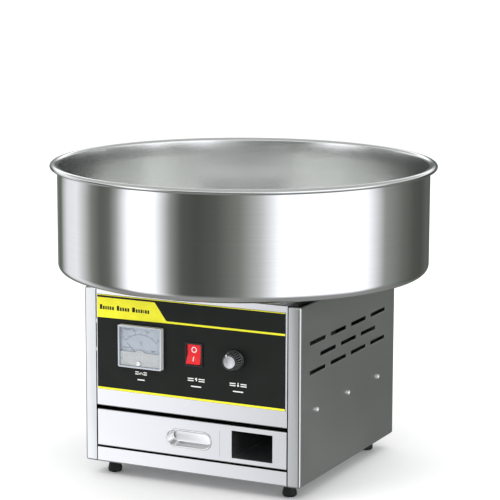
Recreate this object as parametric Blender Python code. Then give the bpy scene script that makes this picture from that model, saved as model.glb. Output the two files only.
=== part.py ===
"""Table-top cotton candy machine: a sheet-steel cabinet with a drawer under a lift-off floss bowl.

Metres, +Z up.  The origin is on the floor under the bowl's axis, the operator stands at -Y and
+X is to the operator's right.
"""
import math

import bmesh
import bpy
from mathutils import Matrix

MM = 0.001
GAP = 0.3 * MM                      # clearance between two pieces that touch on the real machine

# ---------------------------------------------------------------- driving dimensions
CABINET_W = 316 * MM
CABINET_D = 313 * MM
CABINET_H = 237.5 * MM
FOOT_H = 20 * MM
SHEET = 1.5 * MM                    # cabinet steel
BEND = 3 * MM                       # outside bend radius of the cabinet steel
STILE_W = 17.2 * MM                 # the side panels' flanges, seen as stiles on the front
SEAM = 1.4 * MM

DRAWER_BAY_Z = (40.4 * MM, 97.5 * MM)
DRAWER_FRONT_Z = (42.5 * MM, 93 * MM)
DRAWER_FRONT_HALF_W = 139 * MM
TRAY_HALF_W = 133 * MM
TRAY_FLOOR_Z = 46.6 * MM
TRAY_FLANGE_TOP_Z = 87 * MM
TRAY_BACK_Y = 115 * MM
RETURN_DEPTH = 10 * MM              # how far the drawer front folds back
THIN_SHEET = 1.2 * MM               # drawer, sleeve and bowl steel

STICK_HOLE = (58.5 * MM, 36.6 * MM)
STICK_HOLE_CENTRE = (89.8 * MM, 67.9 * MM)
STICK_SLEEVE_BACK_Y = 100 * MM
PULL_SIZE = (67 * MM, 24.6 * MM)
PULL_CENTRE = (-2 * MM, 66.7 * MM)
PULL_DEPTH = 12 * MM
PULL_LIP = 1.6 * MM                 # flange of the pull that laps over the drawer front

BOWL_WALL_R = 250.3 * MM
BOWL_RIM_R = 260 * MM
BOWL_BOTTOM_Z = 269.3 * MM
BOWL_CORNER_R = 11 * MM
RIM_CENTRE_Z = 411 * MM
RIM_CURL_H = 7.4 * MM               # the curl is flatter than it is wide
BOWL_HOLE_R = 65.5 * MM
BOWL_COLLAR_TOP_Z = 290 * MM

HEAD_R = 56 * MM                    # the spinning head
HEAD_FLOOR_Z = 289 * MM
HEAD_CAP_Z = 323.5 * MM
SHAFT_R = 6 * MM
MOTOR_R = 45 * MM
MOTOR_Z = (150 * MM, 220 * MM)
SLIP_RING_R = 18 * MM
SLIP_RING_Z = {"lower": 267 * MM, "upper": 279 * MM}

METER_SIZE = (64 * MM, 56 * MM)
METER_CENTRE = (-70.5 * MM, 184 * MM)
METER_PIVOT_Z = 168.4 * MM
METER_FRONT = 8.5 * MM
METER_BARREL_R = 24 * MM
ZERO_SCREW = (-1.7 * MM, -21.3 * MM)   # from the meter's centre
NEEDLE_REST_ANGLE = math.radians(45)
ROCKER_BEZEL = (25.5 * MM, 31.5 * MM)
ROCKER_CENTRE = (6.7 * MM, 181.5 * MM)
ROCKER_TILT = math.radians(10)
KNOB_CENTRE = (65.7 * MM, 180.6 * MM)
KNOB_SKIRT_R = 14 * MM
KNOB_HEIGHT = 17.5 * MM
BUSHING_R = 4.5 * MM
OVERLAY_X = (-138 * MM, 136.9 * MM)
OVERLAY_Z = (120.5 * MM, 249 * MM)
INLET_CENTRE = (95 * MM, 165 * MM)
INLET_BODY = (27.6 * MM, 20.4 * MM)

SLOT_SIZE = (49.5 * MM, 5.3 * MM)
SLOT_PITCH = 66.2 * MM
SLOT_ROWS = ((205 * MM, -128 * MM, 4), (185.5 * MM, -95 * MM, 3), (166.2 * MM, -128 * MM, 4))
RIVET_Z = 114 * MM
RIVET_YS = (-105.5 * MM, -4.5 * MM, 96.5 * MM)
RIVET_R = 1.6 * MM

# how finely round pieces are divided
BOWL_STEPS = 64
LARGE_STEPS = 40
HEAD_STEPS = 36                     # a multiple of the screen's slots
MEDIUM_STEPS = 32
SMALL_STEPS = 20
TINY_STEPS = 12
BEND_SEGMENTS = 3
SMOOTH_BELOW = math.radians(35)
TINY = 1e-6

# ---------------------------------------------------------------- worked out from the above
HALF_W = CABINET_W / 2
HALF_D = CABINET_D / 2
FLOOR_Z = FOOT_H
TOP_Z = FOOT_H + CABINET_H
PANEL_HALF_W = HALF_W - STILE_W - SEAM
BACK_PANEL_Y = (HALF_D - 2 * SHEET - GAP, HALF_D - SHEET - GAP)
DIVIDER_Z = (120 * MM, 121.5 * MM)
OVERLAY_FRONT = 0.7 * MM            # how far the overlay's face stands off the front plane
FACE = OVERLAY_FRONT + GAP          # where a control's bezel starts


# ---------------------------------------------------------------- materials
def finish(name, colour, roughness, metallic=0.0, alpha=1.0):
    """A Principled BSDF material of one colour."""
    made = bpy.data.materials.new(name)
    made.use_nodes = True
    shader = made.node_tree.nodes["Principled BSDF"]
    shader.inputs["Base Color"].default_value = (*colour, 1.0)
    shader.inputs["Roughness"].default_value = roughness
    shader.inputs["Metallic"].default_value = metallic
    shader.inputs["Alpha"].default_value = alpha
    made.diffuse_color = (*colour, alpha)
    return made


def make_finishes():
    """The machine's finishes by name."""
    table = {
        "brushed_steel": ((0.62, 0.63, 0.63), 0.32, 1.0),
        "polished_steel": ((0.70, 0.70, 0.70), 0.16, 1.0),
        "zinc_steel": ((0.50, 0.51, 0.52), 0.45, 1.0),
        "aluminium": ((0.78, 0.79, 0.80), 0.30, 1.0),
        "black_rubber": ((0.015, 0.015, 0.015), 0.75, 0.0),
        "overlay_black": ((0.018, 0.021, 0.018), 0.35, 0.0),
        "black_plastic": ((0.02, 0.02, 0.022), 0.35, 0.0),
        "white_plastic": ((0.80, 0.81, 0.82), 0.30, 0.0),
        "dial_card": ((0.72, 0.76, 0.80), 0.60, 0.0),
        "red_plastic": ((0.75, 0.02, 0.03), 0.25, 0.0),
        "brass": ((0.75, 0.55, 0.25), 0.30, 1.0),
        "carbon": ((0.05, 0.05, 0.055), 0.60, 0.0),
        "heater_alloy": ((0.35, 0.30, 0.27), 0.45, 1.0),
        "enamel_grey": ((0.20, 0.22, 0.24), 0.50, 0.0),
        "board_green": ((0.03, 0.22, 0.10), 0.50, 0.0),
    }
    made = {name: finish(name, *values) for name, values in table.items()}
    made["clear_plastic"] = finish("clear_plastic", (0.90, 0.93, 0.95), 0.08, 0.0, 0.35)
    return made


# ---------------------------------------------------------------- mesh helpers
def new_object(name, bm, look, smooth=False):
    """An object from a bmesh, with one material and, if it is round, smooth shading."""
    mesh = bpy.data.meshes.new(name)
    bm.to_mesh(mesh)
    bm.free()
    if smooth:
        mesh.shade_smooth()
        mesh.set_sharp_from_angle(angle=SMOOTH_BELOW)
    if look:
        mesh.materials.append(look)
    made = bpy.data.objects.new(name, mesh)
    bpy.context.scene.collection.objects.link(made)
    return made


def add_box(bm, low, high):
    """Adds a box between two corners and returns its vertices."""
    size = [b - a for a, b in zip(low, high)]
    middle = [(a + b) / 2 for a, b in zip(low, high)]
    matrix = Matrix.Translation(middle) @ Matrix.Diagonal((*size, 1.0))
    return bmesh.ops.create_cube(bm, size=1.0, matrix=matrix)["verts"]


def block(name, low, high, look):
    """A plain box between two corners."""
    bm = bmesh.new()
    add_box(bm, low, high)
    return new_object(name, bm, look)


def rounded_block(name, size, low_z, high_z, radius, look):
    """A box standing on local Z whose four upright edges are rounded."""
    bm = bmesh.new()
    add_box(bm, (-size[0] / 2, -size[1] / 2, low_z), (size[0] / 2, size[1] / 2, high_z))
    upright = [edge for edge in bm.edges if abs(edge.verts[0].co.z - edge.verts[1].co.z) > TINY]
    bmesh.ops.bevel(bm, geom=upright, offset=radius, segments=BEND_SEGMENTS, profile=0.5, affect="EDGES")
    return new_object(name, bm, look)


def add_turned(bm, profile, steps, closed=True, wobble=None):
    """Turns (radius, z) points about Z.  A point on the axis becomes a single vertex.

    wobble(step, index) may change a point's radius, which is how a grip gets its flutes.
    """
    rings = []
    for index, (radius, z) in enumerate(profile):
        if radius < TINY:
            rings.append([bm.verts.new((0.0, 0.0, z))])
            continue
        ring = []
        for step in range(steps):
            angle = 2 * math.pi * step / steps
            r = radius + (wobble(step, index) if wobble else 0.0)
            ring.append(bm.verts.new((r * math.cos(angle), r * math.sin(angle), z)))
        rings.append(ring)
    pairs = list(zip(rings, rings[1:]))
    if closed and len(rings[0]) > 1:
        pairs.append((rings[-1], rings[0]))
    for lower, upper in pairs:
        for step in range(steps):
            after = (step + 1) % steps
            corners = [lower[step % len(lower)], lower[after % len(lower)],
                       upper[after % len(upper)], upper[step % len(upper)]]
            unique = list(dict.fromkeys(corners))
            if len(unique) > 2:
                bm.faces.new(unique)


def turned(name, profile, look, steps=MEDIUM_STEPS, wobble=None):
    """A solid turned about Z from a closed outline of (radius, z) points."""
    bm = bmesh.new()
    add_turned(bm, profile, steps, wobble=wobble)
    bmesh.ops.recalc_face_normals(bm, faces=bm.faces[:])
    return new_object(name, bm, look, smooth=True)


def ring_profile(inner, outer, low, high, chamfer=0.0):
    """The outline of a plain ring, with its outer edges chamfered."""
    if not chamfer:
        return [(inner, low), (outer, low), (outer, high), (inner, high)]
    return [(inner, low), (outer - chamfer, low), (outer, low + chamfer),
            (outer, high - chamfer), (outer - chamfer, high), (inner, high)]


def arc(centre, radius, start, end, count):
    """Points on a circle from start to end, in degrees."""
    points = []
    for index in range(count + 1):
        angle = math.radians(start + (end - start) * index / count)
        points.append((centre[0] + radius * math.cos(angle), centre[1] + radius * math.sin(angle)))
    return points


def thicken(made, thickness):
    """Gives a sheet its thickness, on the side its faces turn away from."""
    solidify = made.modifiers.new("Sheet", "SOLIDIFY")
    solidify.thickness = thickness
    solidify.offset = -1.0
    solidify.use_even_offset = True


def folded_sheet(name, path, span, look, axis="X", thickness=SHEET, bend=BEND):
    """Sheet metal folded along a path and running straight along X or Y.

    The path follows the outer face in (y, z), or in (x, z) when the folds run along Y, and has
    the metal on its left.
    """
    bm = bmesh.new()
    columns = []
    for across, z in path:
        ends = [(s, across, z) if axis == "X" else (across, s, z) for s in span]
        columns.append([bm.verts.new(end) for end in ends])
    for one, two in zip(columns, columns[1:]):
        face = [one[0], two[0], two[1], one[1]] if axis == "X" else [one[1], two[1], two[0], one[0]]
        bm.faces.new(face)
    folds = [edge for edge in bm.edges if len(edge.link_faces) == 2]
    bmesh.ops.bevel(bm, geom=folds, offset=bend, segments=BEND_SEGMENTS, profile=0.5, affect="EDGES")
    made = new_object(name, bm, look)
    thicken(made, thickness)
    return made


def cutter(name, boxes=(), rounds=()):
    """A hidden tool: boxes as (low, high), rounds as (profile, placing matrix)."""
    bm = bmesh.new()
    for low, high in boxes:
        add_box(bm, low, high)
    for profile, matrix in rounds:
        piece = bmesh.new()
        add_turned(piece, profile, SMALL_STEPS)
        bmesh.ops.recalc_face_normals(piece, faces=piece.faces[:])
        piece.transform(matrix)
        mesh = bpy.data.meshes.new(name)
        piece.to_mesh(mesh)
        piece.free()
        bm.from_mesh(mesh)
        bpy.data.meshes.remove(mesh)
    return as_tool(new_object(name, bm, None))


def as_tool(made):
    """Hides an object that only cuts or joins others."""
    made.hide_render = True
    made.display_type = "WIRE"
    return made


def combine(made, tool, operation):
    """Cuts or joins a hidden tool with an exact Boolean."""
    boolean = made.modifiers.new(tool.name, "BOOLEAN")
    boolean.operation = operation
    boolean.object = tool
    boolean.solver = "EXACT"


def rod(radius, low, high):
    """The outline of a plain round bar on Z."""
    return [(0.0, low), (radius, low), (radius, high), (0.0, high)]


def facing_front(x, z, depth=0.0):
    """Local X right, local Y up, local Z out of the front plane towards the operator."""
    return Matrix.Translation((x, -HALF_D - depth, z)) @ Matrix.Rotation(math.pi / 2, 4, "X")


def place_on_front(made, x, z, depth=0.0):
    """Puts a piece that was made lying on local Z on the front plane."""
    made.location = (x, -HALF_D - depth, z)
    made.rotation_euler = (math.pi / 2, 0.0, 0.0)
    return made


def pivot(name, location, pieces):
    """An empty on a joint's axis that carries the pieces which move with it."""
    made = bpy.data.objects.new(name, None)
    made.location = location
    bpy.context.scene.collection.objects.link(made)
    bpy.context.view_layer.update()
    for piece in pieces:
        piece.parent = made
        piece.matrix_parent_inverse = made.matrix_world.inverted()
    return made


# ---------------------------------------------------------------- cabinet
def side_panel(name, side, look):
    """A steel pan with its four flanges folded inwards, slotted and drilled for the runner."""
    bm = bmesh.new()
    outer = side * HALF_W
    inner = side * (HALF_W - STILE_W)
    corners = (min(outer, inner), -HALF_D, FLOOR_Z), (max(outer, inner), HALF_D, TOP_Z)
    add_box(bm, *corners)
    open_face = [face for face in bm.faces if abs(face.calc_center_median().x - inner) < TINY]
    bmesh.ops.delete(bm, geom=open_face, context="FACES")
    folds = [edge for edge in bm.edges if len(edge.link_faces) == 2]
    bmesh.ops.bevel(bm, geom=folds, offset=BEND, segments=BEND_SEGMENTS, profile=0.5, affect="EDGES")
    made = new_object(name, bm, look, smooth=True)
    thicken(made, SHEET)

    reach = (outer - side * STILE_W / 2, outer + side * STILE_W / 2)
    slots = []
    for z, first, count in SLOT_ROWS:
        for index in range(count):
            y = first + SLOT_PITCH * index
            low = (min(reach), y, z - SLOT_SIZE[1] / 2)
            high = (max(reach), y + SLOT_SIZE[0], z + SLOT_SIZE[1] / 2)
            slots.append((low, high))
    combine(made, cutter(name + "_cuts", boxes=slots, rounds=rivet_holes(side)), "DIFFERENCE")
    return made


def rivet_holes(side):
    """Cutting rods for the three rivets that hold a drawer runner."""
    rods = []
    for y in RIVET_YS:
        matrix = Matrix.Translation((side * HALF_W, y, RIVET_Z)) @ Matrix.Rotation(math.pi / 2, 4, "Y")
        rods.append((rod(RIVET_R + GAP, -8 * MM, 8 * MM), matrix))
    return rods


def runner(name, side, look):
    """An angle along the side panel on which the drawer's flange slides."""
    web = side * (HALF_W - SHEET - GAP)
    leg_z = TRAY_FLANGE_TOP_Z - THIN_SHEET - GAP - SHEET
    path = [(side * 135 * MM, leg_z), (web, leg_z), (web, 119.5 * MM)]
    if side < 0:
        path.reverse()
    made = folded_sheet(name, path, (-150 * MM, 110 * MM), look, axis="Y", bend=2 * MM)
    combine(made, cutter(name + "_cuts", rounds=rivet_holes(side)), "DIFFERENCE")
    return made


def rivet(name, side, y, look):
    """A domed rivet through the side panel and the runner."""
    head_r, head_h = 3.1 * MM, 3.2 * MM
    inner = -2 * SHEET - 2.5 * MM
    profile = [(0.0, inner), (RIVET_R, inner), (RIVET_R, GAP), (head_r, GAP)]
    profile += [(head_r * math.cos(a), GAP + head_h * math.sin(a)) for a in (0.5, 1.0)]
    profile.append((0.0, GAP + head_h))
    made = turned(name, profile, look, TINY_STEPS)
    made.location = (side * HALF_W, y, RIVET_Z)
    made.rotation_euler = (0.0, side * math.pi / 2, 0.0)
    return made


def foot(name, x, y, look):
    """A waisted rubber foot with a flat sole."""
    profile = [(0.0, 0.0), (6.5 * MM, 0.0), (8.6 * MM, 1.2 * MM), (9.5 * MM, 3.6 * MM),
               (9.3 * MM, 6.4 * MM), (8.3 * MM, 10 * MM), (7.9 * MM, 14 * MM),
               (8.25 * MM, FOOT_H - GAP), (0.0, FOOT_H - GAP)]
    made = turned(name, profile, look, SMALL_STEPS)
    made.location = (x, y, 0.0)
    return made


def base_tray(look):
    """The floor, folded up in front as the bottom rail and behind as a lip."""
    path = [(-HALF_D, DRAWER_BAY_Z[0]), (-HALF_D, FLOOR_Z),
            (BACK_PANEL_Y[0] - GAP, FLOOR_Z), (BACK_PANEL_Y[0] - GAP, FLOOR_Z + 16 * MM)]
    return folded_sheet("base_tray", path, (-PANEL_HALF_W, PANEL_HALF_W), look)


def front_panel(look):
    """The fascia above the drawer, folded back along its lower edge, with the control cut-outs."""
    path = [(-HALF_D, TOP_Z), (-HALF_D, DRAWER_BAY_Z[1]), (-HALF_D + 13 * MM, DRAWER_BAY_Z[1])]
    made = folded_sheet("front_panel", path, (-PANEL_HALF_W, PANEL_HALF_W), look, bend=2 * MM)
    combine(made, control_cutter("front_panel_cuts"), "DIFFERENCE")
    return made


def control_cutter(name):
    """Cut-outs through the fascia for the meter barrel, the rocker and the regulator bushing."""
    clearance = 0.6 * MM
    half = [s / 2 - 1 * MM for s in ROCKER_BEZEL]
    rocker = ((ROCKER_CENTRE[0] - half[0], -HALF_D - 5 * MM, ROCKER_CENTRE[1] - half[1] + 0.3 * MM),
              (ROCKER_CENTRE[0] + half[0], -HALF_D + 5 * MM, ROCKER_CENTRE[1] + half[1] - 0.3 * MM))
    rounds = [(rod(METER_BARREL_R + clearance, -5 * MM, 5 * MM), facing_front(*METER_CENTRE)),
              (rod(BUSHING_R + clearance, -5 * MM, 5 * MM), facing_front(*KNOB_CENTRE))]
    return cutter(name, boxes=[rocker], rounds=rounds)


def fascia_overlay(look):
    """The printed overlay stuck on the fascia."""
    low = (OVERLAY_X[0], -HALF_D - OVERLAY_FRONT, OVERLAY_Z[0])
    high = (OVERLAY_X[1], -HALF_D - GAP, OVERLAY_Z[1])
    made = block("fascia_overlay", low, high, look)
    combine(made, control_cutter("fascia_overlay_cuts"), "DIFFERENCE")
    return made


def back_panel(look):
    """A flat sheet inside the side panels' rear flanges, cut out for the inlet."""
    margin = BEND + GAP
    made = block("back_panel", (-HALF_W + margin, BACK_PANEL_Y[0], FLOOR_Z + margin),
                 (HALF_W - margin, BACK_PANEL_Y[1], TOP_Z - margin), look)
    half = (INLET_BODY[0] / 2 + 0.5 * MM, INLET_BODY[1] / 2 + 0.5 * MM)
    hole = ((INLET_CENTRE[0] - half[0], HALF_D - 8 * MM, INLET_CENTRE[1] - half[1]),
            (INLET_CENTRE[0] + half[0], HALF_D + 8 * MM, INLET_CENTRE[1] + half[1]))
    combine(made, cutter("back_panel_cuts", boxes=[hole]), "DIFFERENCE")
    return made


def top_deck(look):
    """The top sheet with lips folded down in front and behind, and a hole for the shaft."""
    front = -HALF_D + SHEET + GAP
    back = BACK_PANEL_Y[0] - GAP
    path = [(back, TOP_Z - 12 * MM), (back, TOP_Z), (front, TOP_Z), (front, TOP_Z - 12 * MM)]
    made = folded_sheet("top_deck", path, (-PANEL_HALF_W, PANEL_HALF_W), look, bend=2 * MM)
    hole = (rod(12 * MM, -5 * MM, 5 * MM), Matrix.Translation((0, 0, TOP_Z)))
    combine(made, cutter("top_deck_cuts", rounds=[hole]), "DIFFERENCE")
    return made


def bay_divider(look):
    """The shelf that keeps the drawer bay apart from the electrics."""
    low = (-HALF_W + 3.5 * MM, -HALF_D + 3 * MM, DIVIDER_Z[0])
    high = (HALF_W - 3.5 * MM, BACK_PANEL_Y[0] - 1 * MM, DIVIDER_Z[1])
    return block("bay_divider", low, high, look)


# ---------------------------------------------------------------- drawer
def drawer_front(look):
    """A plate folded back along its top and bottom, with holes for the pull and the sticks."""
    back = -HALF_D + RETURN_DEPTH
    low, high = DRAWER_FRONT_Z
    path = [(back, high), (-HALF_D, high), (-HALF_D, low), (back, low)]
    span = (-DRAWER_FRONT_HALF_W, DRAWER_FRONT_HALF_W)
    made = folded_sheet("drawer_front", path, span, look, bend=1.8 * MM)
    half = (STICK_HOLE[0] / 2, STICK_HOLE[1] / 2)
    hole = ((STICK_HOLE_CENTRE[0] - half[0], -HALF_D - 5 * MM, STICK_HOLE_CENTRE[1] - half[1]),
            (STICK_HOLE_CENTRE[0] + half[0], -HALF_D + 5 * MM, STICK_HOLE_CENTRE[1] + half[1]))
    combine(made, cutter("stick_hole", boxes=[hole]), "DIFFERENCE")

    bm = bmesh.new()
    lip = PULL_LIP - 0.4 * MM
    rings = [[bm.verts.new((x, y, z)) for x, y in stadium(PULL_SIZE, lip)] for z in (-5 * MM, 5 * MM)]
    bridge(bm, rings[0], rings[1])
    bm.faces.new(rings[0])
    bm.faces.new(rings[1])
    bmesh.ops.recalc_face_normals(bm, faces=bm.faces[:])
    pull_hole = place_on_front(new_object("pull_hole", bm, None), *PULL_CENTRE)
    combine(made, as_tool(pull_hole), "DIFFERENCE")
    return made


def stadium(size, inset, per_end=10):
    """A flat outline with half-round ends, drawn in by inset."""
    radius = size[1] / 2
    straight = size[0] / 2 - radius
    right = arc((straight, 0.0), radius - inset, -90, 90, per_end)
    left = arc((-straight, 0.0), radius - inset, 90, 270, per_end)
    return right + left


def bridge(bm, one, two):
    """Joins two rings of the same count with quads."""
    count = len(one)
    for index in range(count):
        after = (index + 1) % count
        bm.faces.new((one[index], one[after], two[after], two[index]))


def finger_pull(look):
    """A pressed cup set in the drawer front."""
    wall = 1 * MM
    sections = [(0.0, GAP), (0.3 * MM, 0.9 * MM), (1.2 * MM, 1.0 * MM), (2.4 * MM, 0.2 * MM),
                (3.4 * MM, -6 * MM), (4.4 * MM, -9.8 * MM), (6.2 * MM, -PULL_DEPTH + wall),
                (6.6 * MM, -PULL_DEPTH), (3.6 * MM, -10.2 * MM), (2.4 * MM, -6 * MM),
                (1.8 * MM, -0.6 * MM), (1.6 * MM, GAP)]
    bm = bmesh.new()
    rings = []
    for inset, depth in sections:
        rings.append([bm.verts.new((x, y, depth)) for x, y in stadium(PULL_SIZE, inset)])
    front_floor = 6
    for index in range(len(rings)):
        after = (index + 1) % len(rings)
        if index != front_floor:
            bridge(bm, rings[index], rings[after])
    bm.faces.new(rings[front_floor])
    bm.faces.new(rings[front_floor + 1])
    bmesh.ops.recalc_face_normals(bm, faces=bm.faces[:])
    return place_on_front(new_object("finger_pull", bm, look, smooth=True), *PULL_CENTRE)


def drawer_tray(look):
    """An open tray whose sides are folded out at the top to slide on the runners."""
    flange = 138 * MM
    top = TRAY_FLANGE_TOP_Z
    path = [(flange, top), (TRAY_HALF_W, top), (TRAY_HALF_W, TRAY_FLOOR_Z),
            (-TRAY_HALF_W, TRAY_FLOOR_Z), (-TRAY_HALF_W, top), (-flange, top)]
    path.reverse()
    front = -HALF_D + RETURN_DEPTH + GAP
    made = folded_sheet("drawer_tray", path, (front, TRAY_BACK_Y), look, axis="Y",
                        thickness=THIN_SHEET, bend=1.8 * MM)
    inner_z = TRAY_FLOOR_Z + THIN_SHEET / 2
    inner_x = TRAY_HALF_W - THIN_SHEET / 2
    rear = cutter("tray_back", boxes=[((-inner_x, TRAY_BACK_Y - THIN_SHEET, inner_z),
                                       (inner_x, TRAY_BACK_Y, top - THIN_SHEET))])
    combine(made, rear, "UNION")
    return made


def stick_sleeve(look):
    """A square tube, closed behind, that holds the paper sticks."""
    half = (STICK_HOLE[0] / 2, STICK_HOLE[1] / 2)
    x, z = STICK_HOLE_CENTRE
    front = -HALF_D + SHEET + GAP
    low = (x - half[0] - THIN_SHEET, front, z - half[1] - THIN_SHEET)
    high = (x + half[0] + THIN_SHEET, STICK_SLEEVE_BACK_Y, z + half[1] + THIN_SHEET)
    made = block("stick_sleeve", low, high, look)
    hollow = ((x - half[0], front - 5 * MM, z - half[1]),
              (x + half[0], STICK_SLEEVE_BACK_Y - THIN_SHEET, z + half[1]))
    combine(made, cutter("stick_sleeve_hollow", boxes=[hollow]), "DIFFERENCE")
    return made


# ---------------------------------------------------------------- bowl and spinning head
def bowl_path():
    """The bowl's outer face from the collar round its hole, under the floor and up to the curl."""
    collar_bend = 4 * MM
    path = [(BOWL_HOLE_R, BOWL_COLLAR_TOP_Z)]
    path += arc((BOWL_HOLE_R + collar_bend, BOWL_BOTTOM_Z + collar_bend), collar_bend, 180, 270, 2)
    corner = (BOWL_WALL_R - BOWL_CORNER_R, BOWL_BOTTOM_Z + BOWL_CORNER_R)
    path += arc(corner, BOWL_CORNER_R, 270, 360, 4)
    half_w = (BOWL_RIM_R - THIN_SHEET - BOWL_WALL_R) / 2
    flatness = (RIM_CURL_H / 2 - THIN_SHEET) / half_w
    for across, up in arc((0.0, 0.0), half_w, 180, -90, 9):
        path.append((BOWL_WALL_R + half_w + across, RIM_CENTRE_Z + up * flatness))
    return path


def floss_bowl(look):
    """The round bowl that catches the floss, one sheet from its centre collar to its curled rim."""
    bm = bmesh.new()
    add_turned(bm, bowl_path(), BOWL_STEPS, closed=False)
    made = new_object("floss_bowl", bm, look, smooth=True)
    thicken(made, THIN_SHEET)
    return made


def bowl_support(looks):
    """The raised ring on the deck and the rubber gasket that the bowl rests on."""
    ring_top = BOWL_BOTTOM_Z - 3.3 * MM
    turned("bowl_seat_ring", ring_profile(70 * MM, 90 * MM, TOP_Z + GAP, ring_top, 1.5 * MM),
           looks["aluminium"], LARGE_STEPS)
    turned("bowl_gasket", ring_profile(72 * MM, 88 * MM, ring_top + GAP, BOWL_BOTTOM_Z - GAP, 0.6 * MM),
           looks["black_rubber"], LARGE_STEPS)


def floss_screen(look):
    """The slotted band that the melted sugar is thrown through."""
    low = HEAD_FLOOR_Z + 3 * MM + GAP
    high = HEAD_CAP_Z - GAP
    band = ring_profile(HEAD_R - 2.5 * MM, HEAD_R - 1 * MM, low, high)
    made = turned("floss_screen", band, look, HEAD_STEPS)
    bm = bmesh.new()
    slot_pairs, slot_w, margin = 9, 2.2 * MM, 4.5 * MM
    for index in range(slot_pairs):
        turn = Matrix.Rotation(math.pi * (index + 0.5) / slot_pairs, 4, "Z")
        for side in (-1, 1):
            ends = sorted((side * (HEAD_R - 6 * MM), side * (HEAD_R + 2 * MM)))
            verts = add_box(bm, (ends[0], -slot_w / 2, low + margin), (ends[1], slot_w / 2, high - margin))
            bmesh.ops.transform(bm, matrix=turn, verts=verts)
    combine(made, as_tool(new_object("floss_screen_cuts", bm, None)), "DIFFERENCE")
    return made


def spinning_head(looks):
    """Everything on the motor's shaft: rotor, slip rings, and the head with its heater."""
    sleeve_r = 14 * MM
    bore = SHAFT_R + GAP
    base = turned("spinner_base", [(bore, 260 * MM), (sleeve_r, 260 * MM), (sleeve_r, HEAD_FLOOR_Z),
                                   (HEAD_R, HEAD_FLOOR_Z), (HEAD_R, HEAD_FLOOR_Z + 3 * MM),
                                   (bore, HEAD_FLOOR_Z + 3 * MM)], looks["aluminium"], HEAD_STEPS)
    shaft = turned("motor_shaft", [(0.0, 146 * MM), (SHAFT_R, 146 * MM), (SHAFT_R, 298 * MM),
                                   (SHAFT_R - 1.5 * MM, 300 * MM), (0.0, 300 * MM)],
                   looks["polished_steel"], SMALL_STEPS)
    rotor = turned("motor_armature", ring_profile(bore, 30.5 * MM, 160 * MM, 205 * MM, 1.5 * MM),
                   looks["zinc_steel"])
    heater_tube, heater_r, heater_z = 3 * MM, 46 * MM, 300 * MM
    heater = turned("heater_ring", arc((heater_r, heater_z), heater_tube, 0, 315, 7),
                    looks["heater_alloy"])
    cap_r = HEAD_R + 0.5 * MM
    cap = turned("spinner_cap", [(23 * MM, HEAD_CAP_Z), (cap_r, HEAD_CAP_Z), (cap_r, HEAD_CAP_Z + 3 * MM),
                                 (cap_r - 4 * MM, HEAD_CAP_Z + 6.5 * MM), (27 * MM, HEAD_CAP_Z + 6.5 * MM)],
                 looks["aluminium"], HEAD_STEPS)
    pieces = [base, shaft, rotor, heater, cap, floss_screen(looks["polished_steel"])]

    screw_circle, screw_r, head_r = 34 * MM, 2 * MM, 4 * MM
    cap_top = HEAD_CAP_Z + 6.5 * MM
    holes = []
    for index in range(3):
        angle = 2 * math.pi * index / 3
        spot = (screw_circle * math.cos(angle), screw_circle * math.sin(angle), 0.0)
        profile = [(0.0, HEAD_FLOOR_Z + 3.3 * MM), (screw_r, HEAD_FLOOR_Z + 3.3 * MM),
                   (screw_r, cap_top + GAP), (head_r, cap_top + GAP), (head_r, cap_top + 2 * MM),
                   (head_r - 1.2 * MM, cap_top + 2.8 * MM),
                   (0.0, cap_top + 2.8 * MM)]
        screw = turned("cap_screw_%d" % (index + 1), profile, looks["polished_steel"], TINY_STEPS)
        screw.location = spot
        pieces.append(screw)
        hole = rod(screw_r + 0.5 * MM, HEAD_CAP_Z - 5 * MM, cap_top + 5 * MM)
        holes.append((hole, Matrix.Translation(spot)))
    combine(cap, cutter("spinner_cap_cuts", rounds=holes), "DIFFERENCE")

    for level, z in SLIP_RING_Z.items():
        profile = ring_profile(sleeve_r + GAP, SLIP_RING_R, z - 3 * MM, z + 3 * MM)
        pieces.append(turned("slip_ring_" + level, profile, looks["brass"]))
    pivot("spinner_axis", (0.0, 0.0, HEAD_FLOOR_Z), pieces)


# ---------------------------------------------------------------- drive under the deck
def drive(looks):
    """The motor hung from the deck on three rubber mounts, and the brushes above the deck."""
    low, high = MOTOR_Z
    wall_r, bearing_r = 31.5 * MM, 11.3 * MM
    turned("motor_housing", [(bearing_r, low), (MOTOR_R, low), (MOTOR_R, high), (wall_r, high),
                             (wall_r, low + 3 * MM), (bearing_r, low + 3 * MM)], looks["enamel_grey"],
           LARGE_STEPS)
    turned("motor_end_cap", ring_profile(bearing_r, MOTOR_R, high + GAP, high + 6 * MM, 1.5 * MM),
           looks["aluminium"], LARGE_STEPS)
    for name, z in (("bearing_lower", low), ("bearing_upper", high)):
        turned(name, ring_profile(SHAFT_R + GAP, bearing_r - GAP, z, z + 6 * MM, 0.5 * MM),
               looks["polished_steel"], SMALL_STEPS)
    bracket_low = high + 6.3 * MM
    turned("motor_bracket", ring_profile(14 * MM, 72 * MM, bracket_low, bracket_low + 2 * MM),
           looks["zinc_steel"], LARGE_STEPS)
    mount_r, mount_circle = 8 * MM, 60 * MM
    mount_z = (bracket_low + 2.3 * MM, TOP_Z - SHEET - GAP)
    waist = (mount_z[0] + mount_z[1]) / 2
    for index in range(3):
        angle = math.radians(90 + 120 * index)
        profile = [(0.0, mount_z[0]), (mount_r, mount_z[0]), (mount_r, mount_z[0] + 4 * MM),
                   (mount_r - 2 * MM, waist), (mount_r, mount_z[1] - 4 * MM), (mount_r, mount_z[1]),
                   (0.0, mount_z[1])]
        mount = turned("motor_isolator_%d" % (index + 1), profile, looks["black_rubber"], SMALL_STEPS)
        mount.location = (mount_circle * math.cos(angle), mount_circle * math.sin(angle), 0.0)
    brush_gear(looks)


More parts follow.
